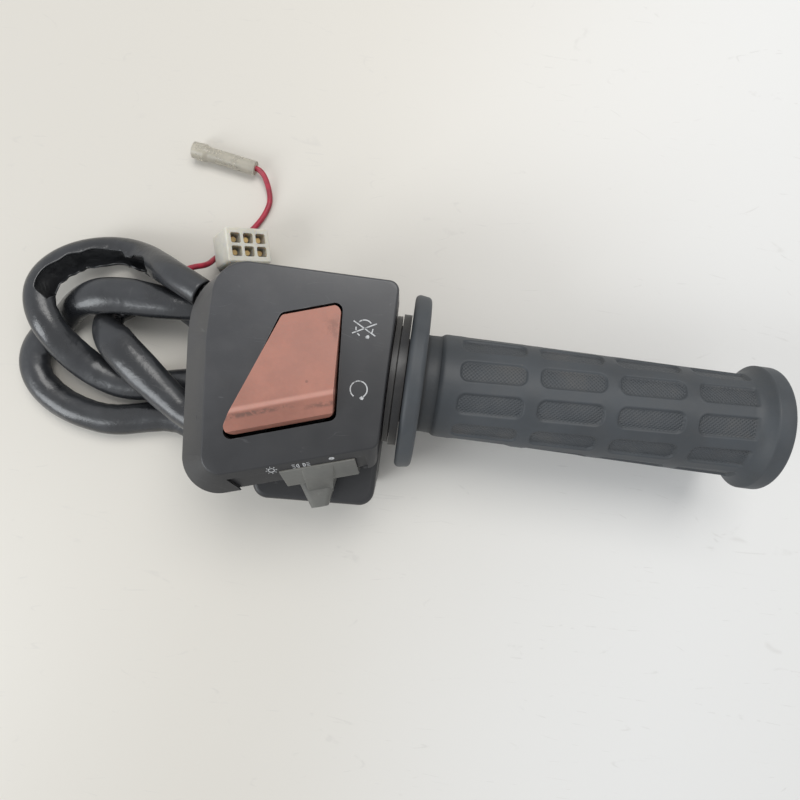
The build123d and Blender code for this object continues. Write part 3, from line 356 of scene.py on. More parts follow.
def worn_finish(name, base, worn, dust, rough=0.42, wear=0.6, width=0.0006, grain=2600.0,
                grain_depth=0.00003, lines=0.4, dust_amount=0.25, specks=0.3, mottle=0.25, **plain):
    """Painted, moulded or cast finish with grain, rubbed edges, hairlines and dust."""
    made, tree = blank_material(name)
    surface = use(tree, "grain", Size=grain)
    body, shifted = mottled(surface["Mottle"], toned(base, 1 - mottle), toned(base, 1 + mottle), 0.35, 0.65)
    scratches = use(tree, "hairlines", Amount=lines)[0]
    body = mix(scratches, body, tuple(0.5 * (a + b) for a, b in zip(base, worn)))
    body = mix(use(tree, "edge_wear", Width=width, Amount=wear)[0], body, worn)
    dusty = use(tree, "dust", Amount=dust_amount, Specks=specks)[0]
    body = mix(dusty, body, dust)
    rise = shifted * 0.12 + (rough - 0.06)
    gloss = clamped(dusty * 0.3 + rise + scratches * -0.1)
    return finish_with(made, body, gloss, surface["Height"] - scratches * 0.6, grain_depth, 0.6, **plain)


def dress(made, *nodes):
    """Gives CAD pieces their material."""
    for node in nodes:
        materials = NODES[node].data.materials
        materials.clear()
        materials.append(made)


# ---- meshes and curves ----
def new_object(name, data):
    obj = bpy.data.objects.new(name, data)
    bpy.context.scene.collection.objects.link(obj)
    return obj


def belongs(obj, material, body, slot=None, replaced=None):
    """Gives a piece its material and its body, and hides the CAD node it stands for. The slot is not used."""
    obj.data.materials.clear()
    obj.data.materials.append(material)
    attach(obj, body)
    if replaced:
        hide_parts(replaced)
    return obj


def add_piece(name, verts, faces, smooth, *belonging):
    """A new mesh piece that rides on a body."""
    mesh = bpy.data.meshes.new(name)
    mesh.from_pydata([tuple(v) for v in verts], [], faces)
    mesh.validate()
    mesh.update()
    mesh.polygons.foreach_set("use_smooth", [smooth] * len(mesh.polygons))
    return belongs(new_object(name, mesh), *belonging)


def solid_mesh(name, verts, faces, weld=0.0):
    """A mesh with its faces turned outward, joined where points are closer than weld."""
    form = bmesh.new()
    spots = [form.verts.new(v) for v in verts]
    for face in faces:
        form.faces.new([spots[k] for k in face])
    if weld:
        bmesh.ops.remove_doubles(form, verts=form.verts, dist=weld)
        bmesh.ops.dissolve_degenerate(form, edges=form.edges, dist=weld)
    bmesh.ops.recalc_face_normals(form, faces=form.faces)
    mesh = bpy.data.meshes.new(name)
    form.to_mesh(mesh)
    form.free()
    return mesh


def points_and_faces(mesh):
    return [v.co for v in mesh.vertices], [face.vertices[:] for face in mesh.polygons]


def rework(mesh, work):
    """Edits a mesh by the work function."""
    form = bmesh.new()
    form.from_mesh(mesh)
    work(form)
    form.to_mesh(mesh)
    form.free()


def smooth_below(mesh, degrees):
    """Smooth shading with sharp edges above an angle."""
    mesh.polygons.foreach_set("use_smooth", [True] * len(mesh.polygons))
    mesh.set_sharp_from_angle(angle=math.radians(degrees))


def grid_faces(rows, ring, closed=True):
    """Faces of a grid of rows by ring points, closed round the ring."""
    faces = []
    for i in range(rows - 1):
        for j in range(ring if closed else ring - 1):
            k = (j + 1) % ring
            faces.append((i * ring + j, i * ring + k, (i + 1) * ring + k, (i + 1) * ring + j))
    return faces


def spline_curve(name, points):
    """A curve object of one smooth open spline with those control points, in millimetres."""
    curve = bpy.data.curves.new(name, "CURVE")
    curve.dimensions = "3D"
    curve.resolution_u = 12
    spline = curve.splines.new("NURBS")
    spline.points.add(len(points) - 1)
    for knot, spot in zip(spline.points, points):
        knot.co = (*[c * MM for c in spot], 1)
    spline.order_u = 3
    spline.use_endpoint_u = True
    return new_object(name, curve)


def smooth_line(name, points, spacing):
    """Evenly spaced points of the smooth spline, and their place among its control points."""
    obj = spline_curve(name, points)
    bpy.context.view_layer.update()
    mesh = bpy.data.meshes.new_from_object(obj)
    line = np.array([v.co[:] for v in mesh.vertices])
    bpy.data.meshes.remove(mesh)
    bpy.data.objects.remove(obj)
    run = np.concatenate([[0], np.cumsum(np.linalg.norm(np.diff(line, axis=0), axis=1))])
    index = np.linspace(0, len(points) - 1, len(line))
    at = np.linspace(0, run[-1], int(run[-1] / spacing) + 1)
    return np.stack([np.interp(at, run, line[:, k]) for k in range(3)], 1), np.interp(at, run, index)


def smooth_rows(values, width):
    """Moving average that keeps the ends."""
    pad = np.pad(values, [(width, width)] + [(0, 0)] * (values.ndim - 1), mode="edge")
    kernel = np.hanning(2 * width + 3)[1:-1]
    kernel /= kernel.sum()
    return np.apply_along_axis(np.convolve, 0, pad, kernel, "valid")


def sections(line):
    """Tangent, side and up vectors along a line that never stands upright."""
    tangent = np.gradient(line, axis=0)
    tangent /= np.linalg.norm(tangent, axis=1)[:, None]
    side = np.cross(tangent, (0, 0, 1.0))
    side /= np.linalg.norm(side, axis=1)[:, None]
    return tangent, side, np.cross(side, tangent)


def ripple(seed, *coords):
    """Smooth repeatable noise from a few sines of the given coordinates."""
    rng = np.random.default_rng(seed)
    total = 0
    for _ in range(6):
        phase = rng.uniform(0, 2 * math.pi)
        total = total + np.sin(sum(c * rng.uniform(-1, 1) for c in coords) + phase)
    return total / 6


# ---- housing and switches ----
# The case's lower wall on its plan: where it crosses X = 0, in millimetres, and its lean
WALL_LOW, WALL_TURN = -27.2, math.radians(17.5)
# Prisms along that wall: section as (depth into the case, height), then both ends as
# (place along the wall, slant of the end per millimetre of depth), all in millimetres
RECESS = ([(5.0, 22.74), (0.65, 17.0), (-3.0, 17.0), (-3.0, 27.0), (1.8, 25.14)], (-40.9, -0.55), (-2.3, 0))
SLIDER_PLATE = ([(-1.42, 15.0), (-1.42, 17.0), (3.6, 23.35), (4.3, 22.8), (-0.6, 16.5), (-0.6, 15.0)],
                (-27.4, -0.12), (-5.4, 0))
SLIDER_ROOT = ([(3.2, 22.85), (0.2, 20.2), (-2.2, 17.0), (-4.4, 13.4), (-6.4, 9.0), (-1.0, 9.0),
                (-0.6, 16.4), (3.2, 21.6)], (-21.44, 0.105), (-12.74, 0.355))
WELD = 1e-6
SLIDER_ROUND = 0.35 * MM
# The kill switch's pivot, and the turn of its length from +X
ROCKER_PIVOT, ROCKER_TURN = (-0.02584, -0.00115, 0.0215), math.radians(18.0)


def wall_prisms(name, *prisms):
    """Object of prisms along the case's lower wall."""
    sine, cosine = math.sin(WALL_TURN), math.cos(WALL_TURN)
    verts, faces = [], []
    for section, *ends in prisms:
        base, count = len(verts), len(section)
        for place, slant in ends:
            for deep, high in section:
                along = place + slant * deep
                x, y = along * cosine - deep * sine, WALL_LOW + along * sine + deep * cosine
                verts.append((x * MM, y * MM, high * MM))
        left, right = range(base, base + count), range(base + count, base + 2 * count)
        faces += [tuple(left), tuple(reversed(right))]
        faces += [(left[k - count + 1], left[k], right[k], right[k - count + 1]) for k in range(count)]
    return new_object(name, solid_mesh(name, verts, faces))


class CASE_OT_paint(bpy.types.Operator):
    """Satin paint on both halves of the case, rubbed at the edges"""
    bl_idname = "throttle_grip.paint_case"
    bl_label = "Paint the case"

    def execute(self, context):
        look = settings("grip_case")
        paint = worn_finish("case_paint", look.paint, look.worn, look.dust, rough=0.43, wear=0.55,
                            width=0.0005, grain=3200.0, grain_depth=0.00002, lines=0.5, dust_amount=0.12,
                            specks=0.25, mottle=0.14, Coat_Weight=0.3, Coat_Roughness=0.3)
        # painted sheen: lighter and glossier towards the inboard upper corner, darker towards the outboard
        # lower side
        parts = axes_of(place_of(paint.node_tree))
        painted_sheen = steps(parts["X"] * -0.5 + parts["Y"] * 0.85, -0.012, 0.036)
        inputs = paint.node_tree.nodes["Principled BSDF"].inputs
        plain = Value(inputs["Base Color"].links[0].from_socket)
        feed(mix(painted_sheen * -0.6 + 0.6, plain, toned(look.paint, 0.15)), inputs["Base Color"])
        feed(painted_sheen * 0.55, inputs["Coat Weight"])
        dress(paint, "front_housing")
        # the rear half again, with the light switch's recess sunk into its lower bevel
        source = NODES["rear_housing"].data
        case = new_object("rear_case", solid_mesh("rear_case", *points_and_faces(source), WELD))
        cutter = wall_prisms("rear_cutter", RECESS)
        cut = case.modifiers.new("recess", "BOOLEAN")
        cut.operation, cut.solver, cut.object = "DIFFERENCE", "EXACT", cutter
        context.view_layer.update()
        shaped = bpy.data.meshes.new_from_object(case.evaluated_get(context.evaluated_depsgraph_get()))
        case.modifiers.clear()
        case.data = shaped
        bpy.data.objects.remove(cutter)
        if len(shaped.polygons) < 0.9 * len(source.polygons):
            raise RuntimeError("the recess cut away too much of the rear half")
        smooth_below(shaped, 24)
        belongs(case, paint, "housing", "case", "rear_housing")
        return {"FINISHED"}


class Ink:
    """Flat printed shapes, drawn in plan in millimetres."""
    def __init__(self):
        self.verts, self.faces = [], []

    def line(self, spots, width, closed=False):
        """A ribbon along some points."""
        spots = np.array(spots, float)
        before, after = (spots[-1:], spots[:1]) if closed else (spots[:1], spots[-1:])
        way = np.vstack([spots[1:], after]) - np.vstack([before, spots[:-1]])
        way /= np.linalg.norm(way, axis=1)[:, None]
        across = np.stack([-way[:, 1], way[:, 0]], 1) * width / 2
        start, count = len(self.verts), len(spots)
        for spot, off in zip(spots, across):
            self.verts += [spot + off, spot - off]
        for i in range(count if closed else count - 1):
            a, b = start + 2 * i, start + 2 * ((i + 1) % count)
            self.faces.append((a, a + 1, b + 1, b))

    def fill(self, spots):
        """A filled convex shape."""
        start = len(self.verts)
        self.verts += list(spots)
        self.faces.append(tuple(range(start, start + len(spots))))


def oval(wide, high, turns):
    """Points on an oval round the origin."""
    return np.stack([wide * np.cos(turns), high * np.sin(turns)], 1)


def full_turn(count):
    return np.linspace(0, 2 * math.pi, count, endpoint=False)


RUN_RADIUS, RUN_WIDTH, CROSS_REACH, CROSS_TURN = 2.42, 0.34, 3.8, math.radians(28)
ARROW = np.array([(0.45, -2.35), (0.75, -2.75), (1.5, -2.85), (1.75, -2.3), (1.5, -1.75), (1.0, -1.85)])
# Arcs of the run symbol as (start, end, points), in degrees: whole, and broken where it is crossed out
RUN_ARCS = ((-64, 240, 38),)
STOP_ARCS = ((-24, 4, 14), (44, 136, 14), (176, 200, 14), (222, 244, 14))
LAMP_WIDTH, RAY_WIDTH, BEAM_WIDTH, LAMP_SQUEEZE = 0.26, 0.22, 0.2, 0.7
STOP_PLACE, RUN_PLACE = np.array((-8.4, 12.4)), np.array((-7.7, -5.1))
DOT_PLACE, PAIR_PLACE, LAMP_PLACE = np.array(((-12.9, -25.8), (-21.4, -29.0), (-29.7, -31.6)))
# How far symbols stand off the case, and the height from which their points are dropped on it
INK_LIFT, DROP_FROM, LOWEST = 0.03 * MM, 50 * MM, 12 * MM


def run_symbol(ink, centre, crossed):
    """Engine run symbol: a ring open at the bottom with an arrow; broken and crossed out for stop."""
    for start, end, count in STOP_ARCS if crossed else RUN_ARCS:
        turns = np.radians(np.linspace(start, end, count))
        ink.line(centre + oval(RUN_RADIUS, RUN_RADIUS, turns), RUN_WIDTH)
    ink.fill(centre + ARROW)
    for turn in (CROSS_TURN, -CROSS_TURN) if crossed else ():
        reach = CROSS_REACH * np.array((math.cos(turn), math.sin(turn)))
        ink.line([centre - reach, centre, centre + reach], RUN_WIDTH)


def lamp_symbols(ink):
    """Off dot, position lamps and head lamp symbols in a row beside the light switch."""
    sine, cosine = math.sin(WALL_TURN), math.cos(WALL_TURN)
    lay = np.array(((cosine, sine), (-LAMP_SQUEEZE * sine, LAMP_SQUEEZE * cosine)))
    ink.fill(DOT_PLACE + oval(0.85, 0.6, full_turn(16)) @ lay)
    for way in (-1, 1):
        flip = np.array((way, 1))
        bulb = PAIR_PLACE + (way * 0.95, 0) @ lay
        half = oval(0.62, 0.75, np.linspace(-math.pi / 2, math.pi / 2, 9)) - (0.3, 0)
        ink.line(bulb + half * flip @ lay, LAMP_WIDTH)
        ink.line(bulb + np.array(((-0.3, -0.75), (-0.3, 0), (-0.3, 0.75))) * flip @ lay, LAMP_WIDTH)
        for lift in (-0.65, 0, 0.65):
            ink.line(bulb + np.array(((0.75, lift), (1.65, lift * 1.25))) * flip @ lay, BEAM_WIDTH)
    ink.line(LAMP_PLACE + oval(0.85, 0.85, full_turn(20)) @ lay, LAMP_WIDTH, closed=True)
    for spot in oval(1, 1, full_turn(8)):
        ink.line(LAMP_PLACE + np.array((1.2 * spot, 1.7 * spot)) @ lay, RAY_WIDTH)


class SYMBOLS_OT_print(bpy.types.Operator):
    """Symbols printed on the rider's side of the case"""
    bl_idname = "throttle_grip.print_symbols"
    bl_label = "Print the symbols"

    def execute(self, context):
        look = settings("grip_case")
        made, tree = blank_material("symbol_ink")
        rubbed = noise(tree, 900.0, 4.0, 0.6)
        tint, _ = mottled(rubbed, toned(look.ink, 0.3), toned(look.ink, 0.75), 0.36, 0.5)
        finish_with(made, tint, 0.55, noise(tree, 3000.0), 0.00001, 0.4)
        ink = Ink()
        run_symbol(ink, STOP_PLACE, True)
        run_symbol(ink, RUN_PLACE, False)
        lamp_symbols(ink)
        housing = NODES["rear_housing"].data
        surface = BVHTree.FromPolygons(*points_and_faces(housing))
        spots = []
        for x, y in ink.verts:
            spot, normal, *_ = surface.ray_cast(Vector((x * MM, y * MM, DROP_FROM)), Vector((0, 0, -1)))
            if spot is None or spot.z < LOWEST:
                raise RuntimeError(f"a symbol point at {x:.2f}, {y:.2f} mm lies off the case")
            spots.append(spot + normal * INK_LIFT)
        add_piece("case_symbols", spots, ink.faces, False, made, "housing")
        return {"FINISHED"}


class ROCKER_OT_finish(bpy.types.Operator):
    """Faded red plastic of the kill switch, with a painted highlight along its crest, painted shade below it
    and some grime
    """
    bl_idname = "throttle_grip.finish_rocker"
    bl_label = "Finish the kill switch"

    def execute(self, context):
        look = settings("grip_case")
        pale = toned(look.rocker, 1.3, 0.08)
        made, tree = blank_material("rocker_plastic")
        # place on the switch, along its length and across it
        lay = put(tree, "ShaderNodeMapping", {"vector_type": "TEXTURE"}, Vector=place_of(tree),
                  Location=ROCKER_PIVOT, Rotation=(0, 0, ROCKER_TURN))[0]
        parts = axes_of(lay)
        along, across = parts["X"], parts["Y"]
        cloud = noise(tree, 95.0, 4.0, 0.6)
        body, mottle = mottled(cloud, toned(look.rocker, 0.86), toned(look.rocker, 1.08), 0.35, 0.68)
        body = mix(steps(across, -0.013, 0.004) * 0.35, body, toned(look.rocker, 1.12, 0.03))
        # a pale painted highlight along the crest, a ragged line of painted shade below it, and a dark ragged
        # line on part of the lower edge
        crest = steps(abs(across + 0.0088), 0.0011, 0.0002)
        body = mix(crest * 0.75, body, pale)
        ragged = steps(noise(tree, 420.0, 4.0, 0.7, warp=0.8), 0.38, 0.62)
        crest_shade = steps(abs(across + 0.0106), 0.0011, 0.0002) * steps(along, 0.004, -0.012) * ragged
        edge = steps(abs(across + 0.0118), 0.0012, 0.0002) * steps(along, -0.004, 0.006) * ragged
        # a smudge in the far corner, scattered specks, and dust at the foot
        corner = put(tree, "ShaderNodeVectorMath", {"operation": "DISTANCE"}, in0=lay,
                     in1=(0.0125, 0.009, 0.006))["Value"]
        smudge = steps(corner, 0.0055, 0.001) * steps(noise(tree, 260.0, 4.0, 0.7), 0.42, 0.66)
        specks = steps(cells(tree, 150.0), 0.09, 0.04) * steps(noise(tree, 95.0, 1.0), 0.52, 0.6)
        foot = use(tree, "dust", Amount=0.8, Specks=0.0, Reach=0.0025)[0]
        # one mask of grime and of the painted shade below the crest
        dirt = highest(crest_shade, edge * 0.8, smudge * 0.55, specks * 0.6, foot * 0.5)
        body = mix(dirt, body, look.rocker_dirt)
        body = mix(use(tree, "edge_wear", Width=0.0007, Amount=0.5)[0], body, pale)
        finish_with(made, body, mottle * 0.1 + 0.46, use(tree, "grain", Size=2200.0)["Height"], 0.00003, 0.5,
                    Subsurface_Weight=0.08, Subsurface_Scale=0.001)
        dress(made, "kill_rocker")
        return {"FINISHED"}


class SLIDER_OT_finish(bpy.types.Operator):
    """Faded grey plastic of the light switch, polished where a thumb rubs it"""
    bl_idname = "throttle_grip.finish_slider"
    bl_label = "Finish the light switch"

    def execute(self, context):
        look = settings("grip_case")
        plastic = worn_finish("slider_plastic", look.slider, toned(look.slider, 2.2), look.dust, rough=0.5,
                              wear=0.8, width=0.0007, grain=2400.0, lines=0.35, dust_amount=0.35, mottle=0.16)
        dress(plastic, "light_slider")
        # upper part of the slider, which follows the case's bevel up to its face
        raised = wall_prisms("slider_plate", SLIDER_PLATE, SLIDER_ROOT)
        rework(raised.data, lambda form: bmesh.ops.bevel(form, geom=form.edges[:], offset=SLIDER_ROUND,
                                                         segments=3, affect="EDGES", profile=0.5))
        smooth_below(raised.data, 40)
        belongs(raised, plastic, "light_slider", "slider")
        plate = worn_finish("contact_plate", look.phenolic, toned(look.phenolic, 1.8), look.dust, rough=0.55,
                            wear=0.3, grain=1800.0, mottle=0.3)
        dress(plate, "slider_carriage", "kill_contact_base", "light_contact_base")
        return {"FINISHED"}


class METALS_OT_finish(bpy.types.Operator):
    """Zinc-plated screws and pins, dull brass contacts and terminals"""
    bl_idname = "throttle_grip.finish_metals"
    bl_label = "Finish the metal pieces"

    def execute(self, context):
        look = settings("grip_case")
        fine = {"grain": 4200.0, "grain_depth": 0.00001, "Metallic": 1.0}
        zinc = worn_finish("zinc_plate", look.steel, toned(look.steel, 1.4), (0.3, 0.26, 0.2), rough=0.36,
                           wear=0.4, lines=0.6, dust_amount=0.3, mottle=0.2, **fine)
        brass = worn_finish("dull_brass", look.brass, toned(look.brass, 1.3), (0.16, 0.1, 0.05), rough=0.38,
                            wear=0.5, dust_amount=0.6, mottle=0.35, **fine)
        dress(zinc, "case_screws", "kill_pivot_pin", "board_screws")
        dress(brass, "kill_moving_contact", "kill_contacts", "light_contacts", "connector_terminals",
              "bullet_terminal")
        return {"FINISHED"}


# ---- grip ----
BORE = 13.65 * MM
# Inner end of the rubber: (distance from the guard ring, radius), in millimetres
NECK = ((0, 13.65), (0, 15.5), (0.3, 15.8), (1.6, 15.75), (3.4, 15.8), (4.7, 15.85), (4.95, 16.0))
NECK_END, BODY_START = 6.0 * MM, 6.8 * MM
# Outer end: a rim that the body flares up to, rounded into the end face
RIM_RADIUS, RIM_WIDTH, RIM_ROUND, FLARE, END_WALL = 20.0 * MM, 5.6 * MM, 1.5 * MM, 5.5 * MM, 4.1 * MM
# End face, a shallow dish with a raised centre button: (radius, depth), in millimetres
END_FACE = ((17.2, 0.0), (16.4, 0.1), (15.8, 0.5), (15.0, 0.7), (9.0, 0.7), (8.2, 0.65), (7.8, 0.2),
            (7.2, 0.05), (3.0, 0.0), (0.05, 0.0))
# Spacing of the profile's points beside a pad's ends and elsewhere, and the reach of the close ones
FINE, COARSE, NEAR = 0.3 * MM, 1.2 * MM, 1.1 * MM
# Points round the grip: across a pad with this margin each side, and one between two pads, in radians
PAD_POINTS, PAD_MARGIN, BETWEEN = 27, 0.045, 0.09
# A pad's wall starts this far outside its outline and is this wide; a low lip runs along it
WALL_START, WALL_WIDTH, LIP, LIP_SPOT, WAVE = 0.12 * MM, 0.62 * MM, 0.05 * MM, 0.35 * MM, 0.04 * MM
# Phase of the knurl's ridges, per radian round the grip and per metre along it
KNURL_AROUND, KNURL_ALONG = 84.0, 5200.0


def beyond_pads(x, around, look):
    """Signed distance from the nearest pad's outline, less than 0 inside it."""
    pitch = 2 * math.pi * look.radius / look.rows
    b = (around + pitch / 2) % pitch - pitch / 2
    column = np.clip(np.floor((x - look.pad_start) / look.pad_pitch), 0, look.columns - 1)
    a = x - (look.pad_start + look.pad_length / 2 + column * look.pad_pitch)
    qx = np.abs(a) - (look.pad_length / 2 - look.pad_corner)
    qy = np.abs(b) - (look.pad_width / 2 - look.pad_corner)
    outside = np.hypot(np.maximum(qx, 0), np.maximum(qy, 0))
    return outside + np.minimum(np.maximum(qx, qy), 0) - look.pad_corner


def spread(edges):
    """Positions from the first edge to the last, close together beside each edge."""
    spots, x = [edges[0]], edges[0]
    while x < edges[-1]:
        x += FINE if min(abs(x - e) for e in edges) < NEAR else COARSE
        spots.append(min(x, edges[-1]))
    return spots


def rubber_profile(look, x0, x1):
    """The grip's outside as (x, radius), from the guard ring over the rim to the end's centre."""
    profile = [(x0 + x * MM, r * MM) for x, r in NECK]
    profile += [(x0 + 5.7 * MM, look.radius - 0.2 * MM), (x0 + 6.3 * MM, look.radius - 0.02 * MM)]
    rim = x1 - RIM_WIDTH
    edges = [x0 + BODY_START]
    for column in range(look.columns):
        start = look.pad_start + column * look.pad_pitch
        edges += [start, start + 2.0 * MM, start + look.pad_length - 2.0 * MM, start + look.pad_length]
    profile += [(x, look.radius) for x in spread([*edges, rim - FLARE])]
    for t in np.linspace(0, 1, 14)[1:]:
        rise = 0.15 * t + 0.85 * t ** 2.3
        profile.append((rim - FLARE + FLARE * t, look.radius + (RIM_RADIUS - look.radius) * rise))
    profile += [(rim + 0.4 * MM, RIM_RADIUS), (rim + 2.2 * MM, RIM_RADIUS)]
    for t in np.linspace(0, math.pi / 2, 8):
        profile.append((x1 + RIM_ROUND * (math.sin(t) - 1), RIM_RADIUS + RIM_ROUND * (math.cos(t) - 1)))
    return np.array(profile + [(x1 - d * MM, r * MM) for r, d in END_FACE])


def rubber_mesh(look):
    """Vertices and faces of the grip, with its sunk pads and its blind bore."""
    low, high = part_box("grip_rubber")
    x0, x1 = low.x, high.x
    profile = rubber_profile(look, x0, x1)
    half = look.pad_width / 2 / look.radius
    turns = np.concatenate([row * 2 * math.pi / look.rows + np.append(
        np.linspace(-half - PAD_MARGIN, half + PAD_MARGIN, PAD_POINTS), half + BETWEEN)
        for row in range(look.rows)])
    x, r = profile[:, :1], profile[:, 1:]
    out = beyond_pads(x, turns * look.radius, look)
    on_body = (x > x0 + NECK_END) & (x < x1 - RIM_WIDTH - FLARE + 1.0 * MM)
    t = np.clip((WALL_START - out) / WALL_WIDTH, 0, 1)
    sink = look.pad_depth * t * t * (3 - 2 * t)
    lip = LIP * np.exp(-((out - LIP_SPOT) / LIP_SPOT) ** 2)
    radius = r + on_body * (lip - sink + WAVE * ripple(3, x * 260, np.sin(turns) * 2))
    # angles run from +Y towards +Z; the first row lies pad_turn beyond the rider's side (+Z)
    middle = look.pad_start + 1.5 * look.pad_pitch + look.pad_length / 2
    wrung = look.twist / (look.columns - 1) / look.pad_pitch * (middle - x)
    angle = math.pi / 2 + look.pad_turn + turns + wrung
    verts = np.stack([x + 0 * radius, radius * np.cos(angle), radius * np.sin(angle)], -1).reshape(-1, 3)
    count, ring = radius.shape
    faces = grid_faces(count, ring) + [tuple(range((count - 1) * ring, count * ring))]
    # bore, up to the closed end
    inner = len(verts)
    bore = [(x1 - END_WALL, BORE * math.cos(a), BORE * math.sin(a)) for a in angle[0]]
    faces += [(j, inner + j, inner + (j + 1) % ring, (j + 1) % ring) for j in range(ring)]
    faces.append(tuple(reversed(range(inner, inner + ring))))
    return np.vstack([verts, bore]), faces


def rubber_material(look, name, knurled):
    """Grey-black rubber, with diamond knurling on the floors of the pads."""
    made, tree = blank_material(name)
    surface = use(tree, "grain", Size=1500.0)
    body, mottle = mottled(surface["Mottle"], toned(look.rubber, 0.85), toned(look.rubber, 1.18), 0.32, 0.68)
    height = surface["Height"] * 0.18
    if knurled:
        parts = axes_of(place_of(tree))
        turn = maths("ARCTAN2", parts["Z"], parts["Y"])
        out = (parts["Z"] ** 2.0 + parts["Y"] ** 2.0) ** 0.5
        sunk = steps(out, look.radius - 0.55 * look.pad_depth, look.radius - 0.85 * look.pad_depth)
        waves = [maths("SINE", turn * KNURL_AROUND + parts["X"] * way) * 0.5 + 0.5
                 for way in (KNURL_ALONG, -KNURL_ALONG)]
        knurl = waves[0] * waves[1]
        first = look.pad_start - 0.5 * MM
        # on the pads' floors, which are neither the bore's wall nor the neck
        inside = sunk * ((parts["X"] > first) * (out > 14.5 * MM))
        height = height + knurl * inside
        dirty = (1.0 - knurl) * inside * steps(noise(tree, 60.0, 4.0, 0.65), 0.46, 0.75)
        body = mix(dirty * 0.22, body, look.dirt)
        # painted shade: the sunk neck by the guard ring and the mouth of the bore are made darker
        body = mix(sunk * (parts["X"] < first) * 0.5, body, toned(look.rubber, 0.35))
    dusty = use(tree, "dust", Amount=0.3, Specks=0.45, Reach=0.003)[0]
    body = mix(dusty * 0.55, body, look.dirt)
    body = mix(use(tree, "edge_wear", Width=0.0006, Amount=0.5)[0], body, toned(look.rubber, 2.6))
    return finish_with(made, body, mottle * 0.1 + 0.5, height, 0.00022, 0.8)


class RUBBER_OT_build(bpy.types.Operator):
    """Rubber grip with sunk knurled pads, and its guard ring"""
    bl_idname = "throttle_grip.build_rubber"
    bl_label = "Build the rubber grip"

    def execute(self, context):
        look, case = settings("grip_rubber"), settings("grip_case")
        rubber = rubber_material(look, "grip_rubber", True)
        add_piece("rubber_grip", *rubber_mesh(look), True, rubber, "throttle", "grip_rubber", "grip_rubber")
        dress(rubber_material(look, "guard_rubber", False), "grip_flange")
        nylon = worn_finish("drum_nylon", case.nylon, toned(case.nylon, 4), case.dust, rough=0.4, wear=0.5,
                            grain=2000.0, lines=0.6, dust_amount=0.3)
        dress(nylon, "throttle_tube")
        return {"FINISHED"}


# ---- harness ----
# Control points of the sheath's centre line and of the red lead, in millimetres
SHEATH_POINTS = [
    (-50.0, -25.0, -15.0), (-60.5, -25.0, -15.0), (-70.5, -21.4, -16.6), (-79.8, -15.2, -17.2),
    (-88.2, -9.2, -17.2), (-96.8, -2.6, -17.6), (-103.4, 3.0, -20.2), (-105.0, 8.6, -23.8),
    (-101.8, 13.8, -26.6), (-94.6, 17.4, -27.2), (-85.0, 18.6, -27.2), (-75.4, 15.4, -27.2),
    (-67.2, 7.6, -27.2), (-59.0, 1.0, -27.2), (-50.0, 2.2, -27.2), (-44.9, 10.4, -27.2),
    (-47.0, 19.8, -27.0), (-55.2, 24.0, -25.4), (-63.2, 20.8, -22.0), (-70.4, 17.4, -18.4),
    (-78.4, 16.8, -17.0), (-87.6, 17.4, -17.2), (-97.2, 18.2, -17.0), (-106.8, 17.0, -17.0),
    (-115.0, 13.4, -20.6), (-122.0, 7.2, -27.1), (-128.4, 0.8, -27.2), (-132.0, -6.6, -27.2),
    (-130.4, -15.4, -27.2), (-122.6, -22.6, -27.2), (-111.8, -26.8, -27.2), (-99.5, -28.2, -27.2),
    (-87.4, -25.2, -27.2), (-76.2, -23.6, -27.2), (-67.0, -27.4, -27.2), (-58.0, -32.0, -27.2),
    (-49.0, -29.4, -27.2), (-44.6, -21.4, -27.2), (-46.8, -12.8, -27.2), (-54.8, -8.6, -27.2),
    (-64.2, -9.2, -27.2), (-74.4, -10.6, -27.2), (-85.4, -13.2, -27.2), (-96.5, -14.8, -27.2),
    (-107.5, -11.6, -26.2), (-116.2, -5.0, -21.4), (-122.4, 2.4, -16.8), (-127.0, 10.6, -16.3),
    (-127.2, 19.4, -17.6), (-121.8, 27.4, -21.0), (-112.2, 32.8, -24.6), (-101.2, 34.0, -25.6),
    (-91.4, 31.6, -21.2), (-83.0, 27.8, -13.6), (-75.0, 24.3, -9.1), (-67.2, 20.6, -8.2),
]
# Sheath sections in millimetres: (control point, half width in plan, half height, sideways shift)
SHEATH_FORM = np.array([
    (0, 4.8, 4.8, 0), (2, 5.8, 4.3, 0.5), (3.5, 6.8, 3.7, 0.9), (5.2, 6.8, 3.5, 0.9), (6.5, 5.6, 4.0, 0.3),
    (8, 4.7, 4.4, 0), (12, 4.8, 4.5, 0), (18, 4.9, 4.3, 0), (20, 5.6, 4.0, -0.5), (21.5, 6.5, 3.6, -1.1),
    (23, 6.3, 3.6, -1.0), (24.5, 5.2, 4.1, -0.2), (26, 5.3, 4.4, 0), (29, 5.7, 4.3, 0), (32, 5.6, 4.3, 0),
    (36, 4.9, 4.5, 0), (42, 5.2, 4.2, 0), (45, 6.1, 3.8, 0), (47, 5.6, 4.2, 0), (49, 5.5, 4.3, 0),
    (51, 5.3, 4.3, 0), (53, 5.0, 4.4, 0), (55, 4.9, 4.5, 0),
])
RED_POINTS = [
    (-75.89, 28.63, -14.22), (-74.47, 30.08, -15.85), (-70.6, 32.3, -20.4), (-70.2, 36.0, -26.2),
    (-67.4, 40.8, -30.5), (-62.2, 46.0, -30.9), (-57.6, 51.4, -30.9), (-54.6, 57.2, -30.9),
    (-53.8, 62.6, -30.9), (-57.44, 71.32, -28.7), (-60.4, 71.8, -28.7),
]
# Tears by control points: (start, end, softness of the ends, how far it gapes)
TEARS = ((47.9, 51.35, 0.55, 1.0), (52.15, 52.75, 0.35, 0.85), (51.3, 52.3, 0.2, 0.42))
# Spacing of the sheath's rings, points round one, and the control point where its inner wall starts
SPACING, SIDES, INNER_START = 0.9 * MM, 48, 46.9
PINCH = (6.2, 6.9, 1.1)
# Taped wires: first and last control point, points round them, and radius and shift in millimetres
TAPE_START, TAPE_END, TAPE_SIDES, TAPE_RADIUS, TAPE_SHIFT = 51.2, 54.4, 28, 2.1, (-0.9, -0.7)


